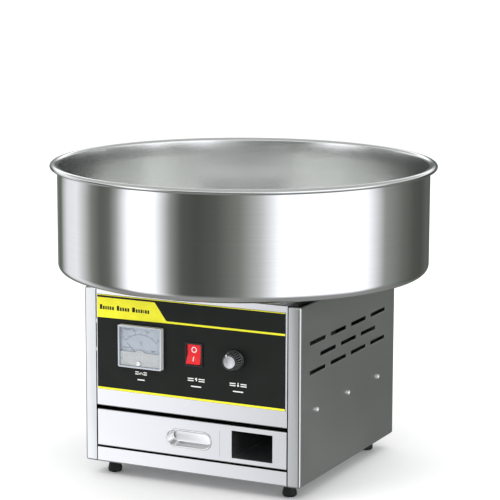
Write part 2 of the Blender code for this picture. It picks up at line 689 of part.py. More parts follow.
def brush_gear(looks):
    """Two spring-fed carbon brushes in their holder, one on each slip ring."""
    half_w, half_h, tip_gap = 3 * MM, 3.4 * MM, 0.4 * MM
    holder = block("brush_holder", (21.5 * MM, -7.5 * MM, TOP_Z + GAP), (48 * MM, 7.5 * MM, 287 * MM),
                   looks["black_plastic"])
    channels = []
    for level, z in SLIP_RING_Z.items():
        low = (SLIP_RING_R + tip_gap, -half_w, z - half_h)
        high = (38 * MM, half_w, z + half_h)
        brush = block("carbon_brush_" + level, low, high, looks["carbon"])
        pivot("brush_axis_" + level, ((low[0] + high[0]) / 2, 0.0, z), [brush])
        channels.append(((20 * MM, -half_w - GAP, z - half_h - GAP),
                         (45 * MM, half_w + GAP, z + half_h + GAP)))
    combine(holder, cutter("brush_channels", boxes=channels), "DIFFERENCE")


# ---------------------------------------------------------------- controls
def meter(looks):
    """The moving-coil voltmeter: case, dial, needle, clear window and zero screw."""
    case = rounded_block("meter_case", METER_SIZE, FACE, METER_FRONT, 1.5 * MM, looks["white_plastic"])
    place_on_front(case, *METER_CENTRE)
    barrel = cutter("meter_barrel", rounds=[(rod(METER_BARREL_R, -38 * MM, FACE + 0.5 * MM),
                                             facing_front(*METER_CENTRE))])
    combine(case, barrel, "UNION")
    inner = (METER_SIZE[0] - 4 * MM, METER_SIZE[1] - 4 * MM)
    recess = rounded_block("meter_recess", inner, FACE + 1 * MM, METER_FRONT + 5 * MM, 0.8 * MM, None)
    place_on_front(recess, *METER_CENTRE)
    combine(case, as_tool(recess), "DIFFERENCE")

    card = (inner[0] - 1 * MM, inner[1] - 1 * MM)
    dial_top = FACE + 2 * MM
    dial = rounded_block("meter_dial", card, FACE + 1 * MM + GAP, dial_top, 0.8 * MM, looks["dial_card"])
    place_on_front(dial, *METER_CENTRE)

    window = rounded_block("meter_window", (inner[0] - 0.6 * MM, inner[1] - 0.6 * MM),
                           METER_FRONT - 1.9 * MM, METER_FRONT - 0.2 * MM, 0.8 * MM, looks["clear_plastic"])
    place_on_front(window, *METER_CENTRE)
    screw_spot = (METER_CENTRE[0] + ZERO_SCREW[0], METER_CENTRE[1] + ZERO_SCREW[1])
    screw_r = 3 * MM
    hole = (rod(screw_r + 0.4 * MM, 0.0, 15 * MM), facing_front(*screw_spot))
    combine(window, cutter("meter_window_cuts", rounds=[hole]), "DIFFERENCE")
    meter_needle(dial_top, looks["black_plastic"])

    screw = turned("meter_zero_screw", rod(screw_r, METER_FRONT - 2.4 * MM, METER_FRONT + 0.6 * MM),
                   looks["white_plastic"], SMALL_STEPS)
    place_on_front(screw, *screw_spot)
    slot = cutter("zero_screw_slot", boxes=[((screw_spot[0] - 5 * MM, -HALF_D - METER_FRONT - 5 * MM,
                                              screw_spot[1] - 0.4 * MM),
                                             (screw_spot[0] + 5 * MM, -HALF_D - METER_FRONT + 0.3 * MM,
                                              screw_spot[1] + 0.4 * MM))])
    combine(screw, slot, "DIFFERENCE")


def meter_needle(dial_top, look):
    """The needle lies left, at zero, with its origin on its pivot."""
    needle_z = (dial_top + 1.2 * MM, dial_top + 1.8 * MM)
    hub_r, tip = 3 * MM, 29 * MM
    bm = bmesh.new()
    add_turned(bm, rod(hub_r, dial_top + 0.6 * MM, dial_top + 2.2 * MM), TINY_STEPS)
    bmesh.ops.recalc_face_normals(bm, faces=bm.faces[:])
    made = new_object("meter_needle", bm, look, smooth=True)
    place_on_front(made, METER_CENTRE[0], METER_PIVOT_Z)

    bm = bmesh.new()
    half = 0.5 * MM
    verts = add_box(bm, (-half, hub_r / 2, needle_z[0]), (half, tip, needle_z[1]))
    bmesh.ops.rotate(bm, verts=verts, matrix=Matrix.Rotation(NEEDLE_REST_ANGLE, 3, "Z"))
    blade = place_on_front(new_object("needle_blade", bm, None), METER_CENTRE[0], METER_PIVOT_Z)
    combine(made, as_tool(blade), "UNION")


def rocker(looks):
    """The power switch, off: its upper half is pressed in."""
    bezel_top = FACE + 1.7 * MM
    housing = rounded_block("rocker_housing", ROCKER_BEZEL, FACE, bezel_top, 1.2 * MM,
                            looks["black_plastic"])
    place_on_front(housing, *ROCKER_CENTRE)
    body = rounded_block("rocker_body", (22.9 * MM, 28.3 * MM), -26 * MM, FACE + 0.5 * MM, 0.5 * MM, None)
    cavity = rounded_block("rocker_cavity", (20.9 * MM, 27.2 * MM), -18 * MM, 10 * MM, 0.3 * MM, None)
    for tool, operation in ((body, "UNION"), (cavity, "DIFFERENCE")):
        place_on_front(tool, *ROCKER_CENTRE)
        combine(housing, as_tool(tool), operation)

    half_w, reach, lip, dip, back_r = 10.1 * MM, 12.9 * MM, 3.9 * MM, 1.5 * MM, 12.6 * MM
    outline = [(lip, reach), (dip, 0.0), (lip, -reach)]
    outline += arc((0.0, 0.0), back_r, 270, 90, 8)
    bm = bmesh.new()
    ends = []
    for x in (-half_w, half_w):
        ends.append([bm.verts.new((x, up, out)) for out, up in outline])
    bridge(bm, ends[0], ends[1])
    bm.faces.new(ends[0])
    bm.faces.new(ends[1])
    bmesh.ops.recalc_face_normals(bm, faces=bm.faces[:])
    bmesh.ops.rotate(bm, verts=bm.verts[:], matrix=Matrix.Rotation(-ROCKER_TILT, 3, "X"))
    button = new_object("rocker_button", bm, looks["red_plastic"])
    place_on_front(button, *ROCKER_CENTRE, depth=-0.5 * MM)


def knob(looks):
    """The heat regulator's knob on its shaft, and the regulator behind the fascia."""
    flutes, flute_depth = 20, 0.6 * MM
    top = KNOB_HEIGHT
    profile = [(0.0, -12 * MM), (3 * MM, -12 * MM), (3 * MM, FACE), (KNOB_SKIRT_R, FACE),
               (KNOB_SKIRT_R, 3.5 * MM), (12.4 * MM, 4.8 * MM), (11.8 * MM, 5.2 * MM),
               (10.6 * MM, top - 1 * MM), (9.7 * MM, top), (0.0, top)]
    grip = (6, 7)
    made = turned("knob", profile, looks["black_plastic"], 2 * flutes,
                  wobble=lambda step, index: -flute_depth * (step % 2) if index in grip else 0.0)
    place_on_front(made, *KNOB_CENTRE)

    bore = 3 * MM + GAP
    behind = -SHEET - GAP
    profile = [(0.0, -20 * MM), (8.5 * MM, -20 * MM), (8.5 * MM, behind), (BUSHING_R, behind),
               (BUSHING_R, FACE - 2 * GAP), (bore, FACE - 2 * GAP), (bore, -12.5 * MM), (0.0, -12.5 * MM)]
    place_on_front(turned("regulator_pot", profile, looks["zinc_steel"], SMALL_STEPS), *KNOB_CENTRE)


def control_board(looks):
    """The power regulator board on four pillars, with its heat sink."""
    low, high = (55 * MM, -115 * MM), (125 * MM, -45 * MM)
    plate_z = (DIVIDER_Z[1] + 5 * MM, DIVIDER_Z[1] + 6.6 * MM)
    made = block("control_board", (*low, plate_z[0]), (*high, plate_z[1]), looks["board_green"])
    inset, half = 5 * MM, 2.5 * MM
    boxes = []
    for x in (low[0] + inset, high[0] - inset):
        for y in (low[1] + inset, high[1] - inset):
            foot_z, top_z = DIVIDER_Z[1] + GAP, plate_z[0] + 0.8 * MM
            boxes.append(((x - half, y - half, foot_z), (x + half, y + half, top_z)))
    boxes.append(((80 * MM, -105 * MM, plate_z[1] - 0.8 * MM), (84 * MM, -60 * MM, plate_z[1] + 24 * MM)))
    boxes.append(((95 * MM, -100 * MM, plate_z[1] - 0.8 * MM), (112 * MM, -78 * MM, plate_z[1] + 14 * MM)))
    combine(made, cutter("board_parts", boxes=boxes), "UNION")


def power_inlet(looks):
    """The appliance inlet in the back panel; the cord plugs into its recess."""
    made = rounded_block("power_inlet", (50 * MM, 25 * MM), GAP, GAP + 2.2 * MM, 3 * MM,
                         looks["black_plastic"])
    body = rounded_block("inlet_body", INLET_BODY, -28 * MM, GAP + 1 * MM, 1 * MM, None)
    recess = rounded_block("inlet_recess", (24.4 * MM, 16.6 * MM), -17 * MM, 12 * MM, 2 * MM, None)
    for piece in (made, body, recess):
        piece.location = (INLET_CENTRE[0], BACK_PANEL_Y[1], INLET_CENTRE[1])
        piece.rotation_euler = (math.pi / 2, 0.0, math.pi)
    for tool, operation in ((body, "UNION"), (recess, "DIFFERENCE")):
        combine(made, as_tool(tool), operation)


# ---------------------------------------------------------------- assembly
def build():
    """Builds the whole machine."""
    for item in list(bpy.data.objects):
        bpy.data.objects.remove(item, do_unlink=True)
    looks = make_finishes()
    steel = looks["brushed_steel"]
    base_tray(steel)
    front_panel(steel)
    back_panel(steel)
    top_deck(steel)
    bay_divider(looks["zinc_steel"])
    fascia_overlay(looks["overlay_black"])
    for label, side in (("left", -1), ("right", 1)):
        side_panel(label + "_side_panel", side, steel)
        runner(label + "_runner", side, looks["zinc_steel"])
        for index, y in enumerate(RIVET_YS):
            rivet("%s_rivet_%d" % (label, index + 1), side, y, looks["polished_steel"])
        for where, y in (("front", -126.5 * MM), ("rear", 126.5 * MM)):
            foot("%s_%s_foot" % (where, label), side * 130 * MM, y, looks["black_rubber"])

    drawer = [drawer_front(steel), drawer_tray(looks["zinc_steel"]), stick_sleeve(looks["zinc_steel"]),
              finger_pull(looks["polished_steel"])]
    pivot("drawer_axis", (0.0, -HALF_D, DRAWER_FRONT_Z[0]), drawer)
    pivot("bowl_axis", (0.0, 0.0, BOWL_BOTTOM_Z), [floss_bowl(looks["polished_steel"])])
    bowl_support(looks)
    spinning_head(looks)
    drive(looks)
    meter(looks)
    rocker(looks)
    knob(looks)
    control_board(looks)
    power_inlet(looks)


build()
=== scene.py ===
"""Looks of the table-top cotton candy machine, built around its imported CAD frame.

Metres, +Z up, the operator stands at -Y.  Every CAD node and every new piece lies where the frame
puts it, so an object's own coordinates are the frame's coordinates too.
"""
import math

import bmesh
import bpy
from mathutils import Matrix, Vector


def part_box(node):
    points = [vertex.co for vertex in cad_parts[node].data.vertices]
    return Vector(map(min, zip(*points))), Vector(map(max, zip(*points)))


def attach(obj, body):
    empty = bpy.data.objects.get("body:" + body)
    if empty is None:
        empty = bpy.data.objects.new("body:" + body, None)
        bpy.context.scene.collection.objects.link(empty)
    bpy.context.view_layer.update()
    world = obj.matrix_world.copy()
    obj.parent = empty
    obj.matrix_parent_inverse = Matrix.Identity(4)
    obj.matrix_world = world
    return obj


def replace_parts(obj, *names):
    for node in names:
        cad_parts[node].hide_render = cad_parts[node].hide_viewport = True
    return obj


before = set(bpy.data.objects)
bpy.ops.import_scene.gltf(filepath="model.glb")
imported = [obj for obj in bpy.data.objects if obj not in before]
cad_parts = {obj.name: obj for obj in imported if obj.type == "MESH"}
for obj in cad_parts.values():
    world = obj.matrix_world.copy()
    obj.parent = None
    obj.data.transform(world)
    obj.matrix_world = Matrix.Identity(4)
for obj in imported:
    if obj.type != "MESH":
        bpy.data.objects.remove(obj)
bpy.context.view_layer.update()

MM = 0.001
FRONT_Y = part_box("front_panel")[0].y        # the cabinet's front plane
BACK_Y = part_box("right_side_panel")[1].y    # the plane of the flanges that hold the back panel's screws

# ---------------- sizes that the frame doesn't state
FACE = 1.0 * MM                             # from the front plane to the back of a control's bezel
INK = 0.06 * MM                             # how far print stands up
BOWL_SHEET = 1.2 * MM
BOWL_WALL_R = 250.3 * MM                    # outside of the wall
BOWL_CORNER_R = 11 * MM
RIM_CURL_H = 7.4 * MM
BOWL_TURNS = 256                            # steps round the bowl, the head's parts and small parts
ROUND_TURNS = 96
SMALL_TURNS = 48

METER_PIVOT_Z = 168.4 * MM
METER_DIAL_FRONT = 3.0 * MM                 # heights over the front plane
METER_COVER_BACK = 5.35 * MM
METER_COVER_FRONT = 5.95 * MM
METER_FRONT = 8.5 * MM
SCALE_R = 32 * MM
SCALE_START = 135                           # degrees from local X, where the scale's zero lies
SCALE_SWEEP = 90
ROCKER_TILT = math.radians(10)
KNOB_TOP = 17.5 * MM
POINTER_ANGLE = math.radians(118)
FLUTES = 22
PULL_DEPTH = 12 * MM
# Each control's label on the overlay: its centre's x and its width.
METER_LABEL = (-72.3 * MM, 17.4 * MM)
SWITCH_LABEL = (9.3 * MM, 24.7 * MM)
KNOB_LABEL = (70.2 * MM, 24.4 * MM)


# ---------------- node helpers
class Nodes:
    """A short way to add and link a material's or the world's nodes."""

    def __init__(self, tree):
        self.tree = tree

    def add(self, kind, **settings):
        node = self.tree.nodes.new("ShaderNode" + kind)
        for name, value in settings.items():
            setattr(node, name, value)
        return node

    def link(self, source, target):
        self.tree.links.new(source, target)

    def feed(self, socket, value):
        """Sets a socket to a number or links it to another socket."""
        if isinstance(value, bpy.types.NodeSocket):
            self.link(value, socket)
        else:
            socket.default_value = value

    def math(self, operation, one, two=0.0):
        node = self.add("Math", operation=operation)
        self.feed(node.inputs[0], one)
        self.feed(node.inputs[1], two)
        return node.outputs[0]

    def place(self, scale):
        """The object's coordinates times a scale for each axis."""
        coordinates = self.add("TexCoord")
        mapping = self.add("Mapping")
        mapping.inputs["Scale"].default_value = scale
        self.link(coordinates.outputs["Object"], mapping.inputs["Vector"])
        return mapping.outputs["Vector"]

    def noise(self, vector, detail=2.0, roughness=0.5):
        node = self.add("TexNoise")
        node.inputs["Scale"].default_value = 1.0
        node.inputs["Detail"].default_value = detail
        node.inputs["Roughness"].default_value = roughness
        self.link(vector, node.inputs["Vector"])
        return node.outputs["Fac"]

    def span(self, value, low, high, to_low, to_high):
        """Maps low..high to to_low..to_high, clamped."""
        node = self.add("MapRange")
        self.link(value, node.inputs["Value"])
        for name, number in (("From Min", low), ("From Max", high),
                             ("To Min", to_low), ("To Max", to_high)):
            node.inputs[name].default_value = number
        return node.outputs["Result"]

    def blend(self, share, one, two):
        """A colour mix; one and two are colours or sockets."""
        node = self.add("Mix", data_type="RGBA")
        self.feed(node.inputs["Factor"], share)
        for name, value in (("A", one), ("B", two)):
            colour = value if isinstance(value, bpy.types.NodeSocket) else (*value, 1.0)
            self.feed(next(s for s in node.inputs if s.name == name and s.type == "RGBA"), colour)
        return next(s for s in node.outputs if s.type == "RGBA")

    def bump(self, height, strength, distance):
        node = self.add("Bump")
        node.inputs["Strength"].default_value = strength
        node.inputs["Distance"].default_value = distance
        self.link(height, node.inputs["Height"])
        return node.outputs["Normal"]

    def ramp(self, share, stops):
        """Brightness at azimuths in degrees, from -180 to 180; dark is greenish and bright bluish."""
        node = self.add("ValToRGB")
        self.link(share, node.inputs["Fac"])
        elements = node.color_ramp.elements
        while len(elements) > 1:
            elements.remove(elements[0])
        for index, (azimuth, value) in enumerate(stops):
            position = (azimuth + 180) / 360
            stop = elements[0] if index == 0 else elements.new(position)
            stop.position = position
            light = min(max((value - 0.1) / 0.7, 0.0), 1.0)
            stop.color = (*(value * (d + (b - d) * light) for d, b in zip(DARK_TINT, BRIGHT_TINT)), 1.0)
        return node.outputs["Color"]


def new_look(name, **sockets):
    """A material with its Principled BSDF, whose constant sockets are set by name."""
    made = bpy.data.materials.new("look_" + name)
    made.use_nodes = True
    shader = made.node_tree.nodes["Principled BSDF"]
    for key, value in sockets.items():
        shader.inputs[key.replace("_", " ")].default_value = value
    return made, shader, Nodes(made.node_tree)


def edge_mask(nodes, radius):
    """1 along an object's edges and 0 on its flats, from how far a rounded normal leans."""
    bevel = nodes.add("Bevel", samples=4)
    bevel.inputs["Radius"].default_value = radius
    flat = nodes.add("NewGeometry")
    dot = nodes.add("VectorMath", operation="DOT_PRODUCT")
    nodes.link(bevel.outputs["Normal"], dot.inputs[0])
    nodes.link(flat.outputs["Normal"], dot.inputs[1])
    return nodes.span(dot.outputs["Value"], 0.97, 0.80, 0.0, 1.0)


# ---------------- materials
def brushed_steel(name, colour, roughness, grain, smudge=0.05, line=0.25, side_roughness=None):
    """Sheet steel with a straight grain; grain is the scale along each axis, small along the lines.

    Faces square to X, a side panel's broad face, may be more matt than its folded flanges.
    """
    made, shader, nodes = new_look(name, Metallic=1.0)
    lines = nodes.noise(nodes.place(grain), detail=3.0, roughness=0.65)
    cloud = nodes.noise(nodes.place((9.0, 9.0, 9.0)), detail=3.0)
    streaked = nodes.blend(nodes.span(lines, 0.35, 0.65, 0.0, 1.0), [c * 0.97 for c in colour], colour)
    worn = nodes.blend(edge_mask(nodes, 0.4 * MM), streaked, [min(c * 1.12, 1.0) for c in colour])
    nodes.link(worn, shader.inputs["Base Color"])
    rough = nodes.math("ADD", nodes.span(cloud, 0.3, 0.7, roughness - smudge, roughness + smudge),
                       nodes.span(lines, 0.3, 0.7, -0.04, 0.04))
    if side_roughness:
        facing = nodes.add("NewGeometry")
        parts = nodes.add("SeparateXYZ")
        nodes.link(facing.outputs["Normal"], parts.inputs["Vector"])
        across = nodes.math("ABSOLUTE", parts.outputs["X"])
        rough = nodes.math("ADD", rough, nodes.span(across, 0.7, 0.95, 0.0, side_roughness - roughness))
    nodes.link(rough, shader.inputs["Roughness"])
    nodes.link(nodes.bump(lines, line, 0.03 * MM), shader.inputs["Normal"])
    return made


def spun_metal(name, colour, roughness, ring=0.10):
    """Turned and polished metal, with fine rings about the Z axis."""
    made, shader, nodes = new_look(name, Metallic=1.0)
    coordinates = nodes.add("TexCoord")
    parts = nodes.add("SeparateXYZ")
    nodes.link(coordinates.outputs["Object"], parts.inputs["Vector"])
    x, y, z = (parts.outputs[axis] for axis in "XYZ")
    square = nodes.math("ADD", nodes.math("MULTIPLY", x, x), nodes.math("MULTIPLY", y, y))
    radius = nodes.math("SQRT", square)
    turn = nodes.math("ARCTAN2", y, x)
    joined = nodes.add("CombineXYZ")
    for axis, value, scale in (("X", radius, 700.0), ("Y", turn, 0.6), ("Z", z, 700.0)):
        nodes.link(nodes.math("MULTIPLY", value, scale), joined.inputs[axis])
    rings = nodes.noise(joined.outputs["Vector"], detail=2.0, roughness=0.6)
    cloud = nodes.noise(nodes.place((6.0,) * 3), detail=3.0)
    streaked = nodes.blend(nodes.span(rings, 0.3, 0.7, 0.0, 1.0), [c * 0.96 for c in colour], colour)
    nodes.link(streaked, shader.inputs["Base Color"])
    uneven = nodes.span(cloud, 0.3, 0.7, roughness - 0.025, roughness + 0.025)
    nodes.link(uneven, shader.inputs["Roughness"])
    nodes.link(nodes.bump(rings, ring, 0.01 * MM), shader.inputs["Normal"])
    return made


def fine_metal(name, colour, roughness, grain_scale=700.0, stain=0.85, grain=0.12):
    """Zinc, cast or pressed metal with a fine grain and faint stains."""
    made, shader, nodes = new_look(name, Metallic=1.0)
    skin = nodes.noise(nodes.place((grain_scale,) * 3))
    cloud = nodes.noise(nodes.place((25.0,) * 3), detail=4.0)
    toned = nodes.blend(nodes.span(cloud, 0.35, 0.7, 0.0, 1.0), colour, [c * stain for c in colour])
    nodes.link(toned, shader.inputs["Base Color"])
    nodes.link(nodes.span(cloud, 0.3, 0.7, roughness - 0.05, roughness + 0.06), shader.inputs["Roughness"])
    nodes.link(nodes.bump(skin, grain, 0.03 * MM), shader.inputs["Normal"])
    return made


def moulded(name, colour, roughness, grain=(1500.0, 1500.0, 1500.0), depth=0.12, wear_and_highlight=None,
            wear_and_highlight_width=0.35 * MM, **sockets):
    """Plastic, rubber or ink: a fine skin, uneven gloss, and another colour along its edges, which is wear
    on most looks and a painted highlight on the knob's flute crests.
    """
    made, shader, nodes = new_look(name, **sockets)
    skin = nodes.noise(nodes.place(grain))
    cloud = nodes.noise(nodes.place((40.0,) * 3), detail=3.0)
    toned = nodes.blend(nodes.span(cloud, 0.3, 0.7, 0.0, 1.0), colour, [c * 0.9 for c in colour])
    # Another colour along the edges: wear on most looks, a painted highlight on the knob.
    if wear_and_highlight:
        toned = nodes.blend(edge_mask(nodes, wear_and_highlight_width), toned, wear_and_highlight)
    nodes.link(toned, shader.inputs["Base Color"])
    nodes.link(nodes.span(cloud, 0.3, 0.7, roughness - 0.04, roughness + 0.06), shader.inputs["Roughness"])
    nodes.link(nodes.bump(skin, depth, 0.03 * MM), shader.inputs["Normal"])
    return made


def clear_plastic(name, tint, frost):
    """Clear acrylic with a few hairline scratches."""
    made, shader, nodes = new_look(name, Transmission_Weight=1.0, IOR=1.45)
    hair = nodes.noise(nodes.place((400.0, 400.0, 60.0)))
    nodes.link(nodes.blend(nodes.span(hair, 0.4, 0.6, 0.0, 1.0), tint, [c * 0.99 for c in tint]),
               shader.inputs["Base Color"])
    nodes.link(nodes.span(hair, 0.55, 0.75, frost, frost + 0.06), shader.inputs["Roughness"])
    return made


def make_looks():
    """Every look by name."""
    steel = (0.76, 0.76, 0.765)
    fine = (1500.0,) * 3
    return {
        "front_steel": brushed_steel("front_steel", steel, 0.19, (6.0, 1500.0, 1500.0), 0.02, 0.06),
        # The side panels and their front stiles take a darker copy of the cabinet's steel: painted shade on
        # the sides.
        "shaded_side_steel": brushed_steel("shaded_side_steel", (0.61, 0.62, 0.61), 0.17, (1500.0, 6.0, 1500.0),
                                    0.03, 0.05, side_roughness=0.42),
        "bowl_steel": spun_metal("bowl_steel", (0.825, 0.832, 0.825), 0.10, 0.05),
        # The bowl's inside takes a lighter copy of its spun steel: painted light.
        "bowl_inside_painted_light": spun_metal("bowl_inside_painted_light", (0.93, 0.94, 0.925), 0.18, 0.05),
        # The finger pull takes a lighter copy of the drawer front's steel: painted light in the cup.
        "lit_pull_steel": fine_metal("lit_pull_steel", (0.86, 0.86, 0.865), 0.24, 200.0, 0.96, 0.02),
        # The curled rim takes a darker copy of the bowl's spun steel: painted shade.
        "bowl_rim_painted_shade": spun_metal("bowl_rim_painted_shade", (0.70, 0.715, 0.695), 0.13, 0.03),
        "pressed_steel": fine_metal("pressed_steel", (0.82, 0.82, 0.82), 0.20, 300.0, 0.95, 0.03),
        "zinc_steel": fine_metal("zinc_steel", (0.56, 0.57, 0.58), 0.40),
        "aluminium": spun_metal("aluminium", (0.83, 0.83, 0.84), 0.28),
        "knob_cap": fine_metal("knob_cap", (0.80, 0.80, 0.81), 0.45, 900.0, 0.95, 0.08),
        "brass": spun_metal("brass", (0.80, 0.58, 0.26), 0.28),
        "heater": fine_metal("heater", (0.30, 0.25, 0.22), 0.45, 500.0, 0.7),
        "enamel": moulded("enamel", (0.10, 0.115, 0.13), 0.42, (600.0,) * 3, 0.1, wear_and_highlight=(0.16, 0.17, 0.18)),
        "rubber": moulded("rubber", (0.008, 0.008, 0.008), 0.62, (900.0,) * 3, 0.3, wear_and_highlight=(0.02, 0.02, 0.02),
                          Specular_IOR_Level=0.3),
        "overlay": moulded("overlay", (0.0105, 0.0128, 0.0105), 0.36, fine, 0.06, Specular_IOR_Level=0.16),
        "black_plastic": moulded("black_plastic", (0.009, 0.009, 0.010), 0.30, fine, 0.12,
                                 wear_and_highlight=(0.03, 0.03, 0.032), Specular_IOR_Level=0.4),
        # The knob's light grey edge colour is a painted highlight along its flute crests.
        "knob_plastic": moulded("knob_plastic", (0.012, 0.012, 0.013), 0.24, fine, 0.05,
                                wear_and_highlight=(0.38, 0.38, 0.385), wear_and_highlight_width=0.7 * MM, Specular_IOR_Level=0.6),
        "white_plastic": moulded("white_plastic", (0.84, 0.86, 0.87), 0.20, fine, 0.03),
        "red_plastic": moulded("red_plastic", (0.80, 0.008, 0.014), 0.22, fine, 0.04,
                               wear_and_highlight=(0.92, 0.10, 0.10), Specular_IOR_Level=0.35),
        "carbon": moulded("carbon", (0.03, 0.03, 0.032), 0.55, (500.0,) * 3, 0.4),
        "board": moulded("board", (0.02, 0.16, 0.07), 0.35, (400.0,) * 3, 0.1),
        "yellow_ink": moulded("yellow_ink", (0.97, 0.92, 0.035), 0.42, fine, 0.05, Specular_IOR_Level=0.2),
        "white_ink": moulded("white_ink", (0.88, 0.89, 0.88), 0.42, fine, 0.05, Specular_IOR_Level=0.2),
        "black_ink": moulded("black_ink", (0.015, 0.017, 0.015), 0.45, fine, 0.05, Specular_IOR_Level=0.2),
        "grey_ink": moulded("grey_ink", (0.10, 0.12, 0.15), 0.5, fine, 0.05, Specular_IOR_Level=0.2),
        "dial_card": moulded("dial_card", (0.66, 0.74, 0.84), 0.55, fine, 0.05),
        "bezel_card": moulded("bezel_card", (0.44, 0.49, 0.55), 0.35, fine, 0.05),
        "frosted_cover": moulded("frosted_cover", (0.74, 0.76, 0.76), 0.25, (900.0, 900.0, 25.0), 0.9),
        # Grey strips on the knob's flute crests: a painted highlight.
        "crest_highlight_plastic": moulded("crest_highlight_plastic", (0.17, 0.17, 0.175), 0.30, fine, 0.05),
        "rivet_steel": fine_metal("rivet_steel", (0.96, 0.96, 0.96), 0.42, 300.0, 0.97, 0.02),
        "cover_lip": moulded("cover_lip", (0.86, 0.88, 0.88), 0.22, fine, 0.04),
        "window": clear_plastic("window", (0.985, 0.99, 0.995), 0.02),
    }


CAD_LOOKS = {
    "front_steel": ("base_tray", "front_panel", "back_panel", "top_deck", "drawer_front"),
    "shaded_side_steel": ("left_side_panel", "right_side_panel"),
    "zinc_steel": ("bay_divider", "left_runner", "right_runner", "motor_bracket", "regulator_pot",
                   "drawer_tray", "stick_sleeve", "motor_armature"),
    "pressed_steel": ("finger_pull", "bearing_lower", "bearing_upper", "motor_shaft", "floss_screen",
                      "cap_screw_1", "cap_screw_2", "cap_screw_3", "left_rivet_1", "left_rivet_2",
                      "left_rivet_3", "right_rivet_1", "right_rivet_2", "right_rivet_3"),
    "bowl_steel": ("floss_bowl",),
    "aluminium": ("bowl_seat_ring", "motor_end_cap", "spinner_base", "spinner_cap"),
    "brass": ("slip_ring_lower", "slip_ring_upper"),
    "heater": ("heater_ring",),
    "enamel": ("motor_housing",),
    "rubber": ("front_left_foot", "front_right_foot", "rear_left_foot", "rear_right_foot",
               "bowl_gasket", "motor_isolator_1", "motor_isolator_2", "motor_isolator_3"),
    "overlay": ("fascia_overlay",),
    "black_plastic": ("brush_holder", "rocker_housing", "power_inlet", "knob"),
    "black_ink": ("meter_needle",),
    "white_plastic": ("meter_case", "meter_zero_screw"),
    "dial_card": ("meter_dial",),
    "window": ("meter_window",),
    "red_plastic": ("rocker_button",),
    "carbon": ("carbon_brush_lower", "carbon_brush_upper"),
    "board": ("control_board",),
}


# ---------------- carried-over CAD nodes
def smoothing_group():
    """A modifier's node group: welds a node's triangles and smooths its shallow edges."""
    group = bpy.data.node_groups.new("weld_and_smooth", "GeometryNodeTree")
    group.interface.new_socket("Geometry", in_out="INPUT", socket_type="NodeSocketGeometry")
    group.interface.new_socket("Geometry", in_out="OUTPUT", socket_type="NodeSocketGeometry")
    way_in = group.nodes.new("NodeGroupInput")
    way_out = group.nodes.new("NodeGroupOutput")
    weld = group.nodes.new("GeometryNodeMergeByDistance")
    weld.inputs["Distance"].default_value = 0.002 * MM
    forget = group.nodes.new("GeometryNodeRemoveAttribute")
    forget.inputs["Name"].default_value = "custom_normal"
    faces = group.nodes.new("GeometryNodeSetShadeSmooth")
    edges = group.nodes.new("GeometryNodeSetShadeSmooth")
    edges.domain = "EDGE"
    angle = group.nodes.new("GeometryNodeInputMeshEdgeAngle")
    shallow = group.nodes.new("FunctionNodeCompare")
    shallow.data_type = "FLOAT"
    shallow.operation = "LESS_THAN"
    shallow.inputs["B"].default_value = math.radians(40)
    chain = [way_in, weld, forget, faces, edges]
    for one, two in zip(chain, chain[1:]):
        group.links.new(one.outputs["Geometry"], two.inputs["Geometry"])
    group.links.new(edges.outputs["Geometry"], way_out.inputs["Geometry"])
    group.links.new(angle.outputs["Unsigned Angle"], shallow.inputs["A"])
    group.links.new(shallow.outputs["Result"], edges.inputs["Shade Smooth"])
    return group


def soften(node, group, width):
    """Welds a CAD node, rounds its sharp edges a little and keeps its flats flat."""
    weld = node.modifiers.new("Weld and smooth", "NODES")
    weld.node_group = group
    if width:
        bevel = node.modifiers.new("Edge", "BEVEL")
        bevel.width = width
        bevel.segments = 2
        bevel.limit_method = "ANGLE"
        bevel.angle_limit = math.radians(50)
    normal = node.modifiers.new("Flats", "WEIGHTED_NORMAL")
    normal.keep_sharp = True
    normal.weight = 80


EDGE_WIDTHS = {
    "meter_case": 0.5 * MM, "rocker_housing": 0.35 * MM, "rocker_button": 0.6 * MM,
    "power_inlet": 0.4 * MM, "drawer_front": 0.2 * MM, "front_panel": 0.2 * MM,
    "left_side_panel": 0.2 * MM, "right_side_panel": 0.2 * MM, "fascia_overlay": 0.1 * MM,
    "meter_window": 0.3 * MM, "brush_holder": 0.5 * MM,
}


def dress_nodes(looks):
    """Gives every CAD node its look and its softened edges."""
    group = smoothing_group()
    for look, names in CAD_LOOKS.items():
        for name in names:
            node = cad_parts[name]
            for slot in node.material_slots:
                slot.material = looks[look]
            soften(node, group, EDGE_WIDTHS.get(name, 0.0))


# ---------------- shape helpers
UPRIGHT = Matrix.Rotation(math.pi / 2, 4, "X")


def middle(node):
    """The centre of a CAD node's box."""
    low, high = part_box(node)
    return (low + high) / 2


def on_front(x, z, out=0.0):
    """Local X right, local Y up and local Z towards the operator, from a spot on the front plane."""
    return Matrix.Translation((x, FRONT_Y - out, z)) @ UPRIGHT


def in_front_of(node):
    """The same, from a CAD node's centre."""
    spot = middle(node)
    return on_front(spot.x, spot.z)


def piece(name, bm, look, body, smooth_below=None):
    """Makes an object of a bmesh, in frame coordinates, that rides on a body."""
    bmesh.ops.recalc_face_normals(bm, faces=bm.faces[:])
    mesh = bpy.data.meshes.new(name)
    bm.to_mesh(mesh)
    bm.free()
    if smooth_below:
        mesh.shade_smooth()
        mesh.set_sharp_from_angle(angle=math.radians(smooth_below))
    mesh.materials.append(look)
    made = bpy.data.objects.new(name, mesh)
    bpy.context.scene.collection.objects.link(made)
    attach(made, body)
    return made


def arc(centre, radius, start, end, count):
    """Points on a circle from start to end, in degrees."""
    points = []
    for index in range(count + 1):
        angle = math.radians(start + (end - start) * index / count)
        points.append((centre[0] + radius * math.cos(angle), centre[1] + radius * math.sin(angle)))
    return points


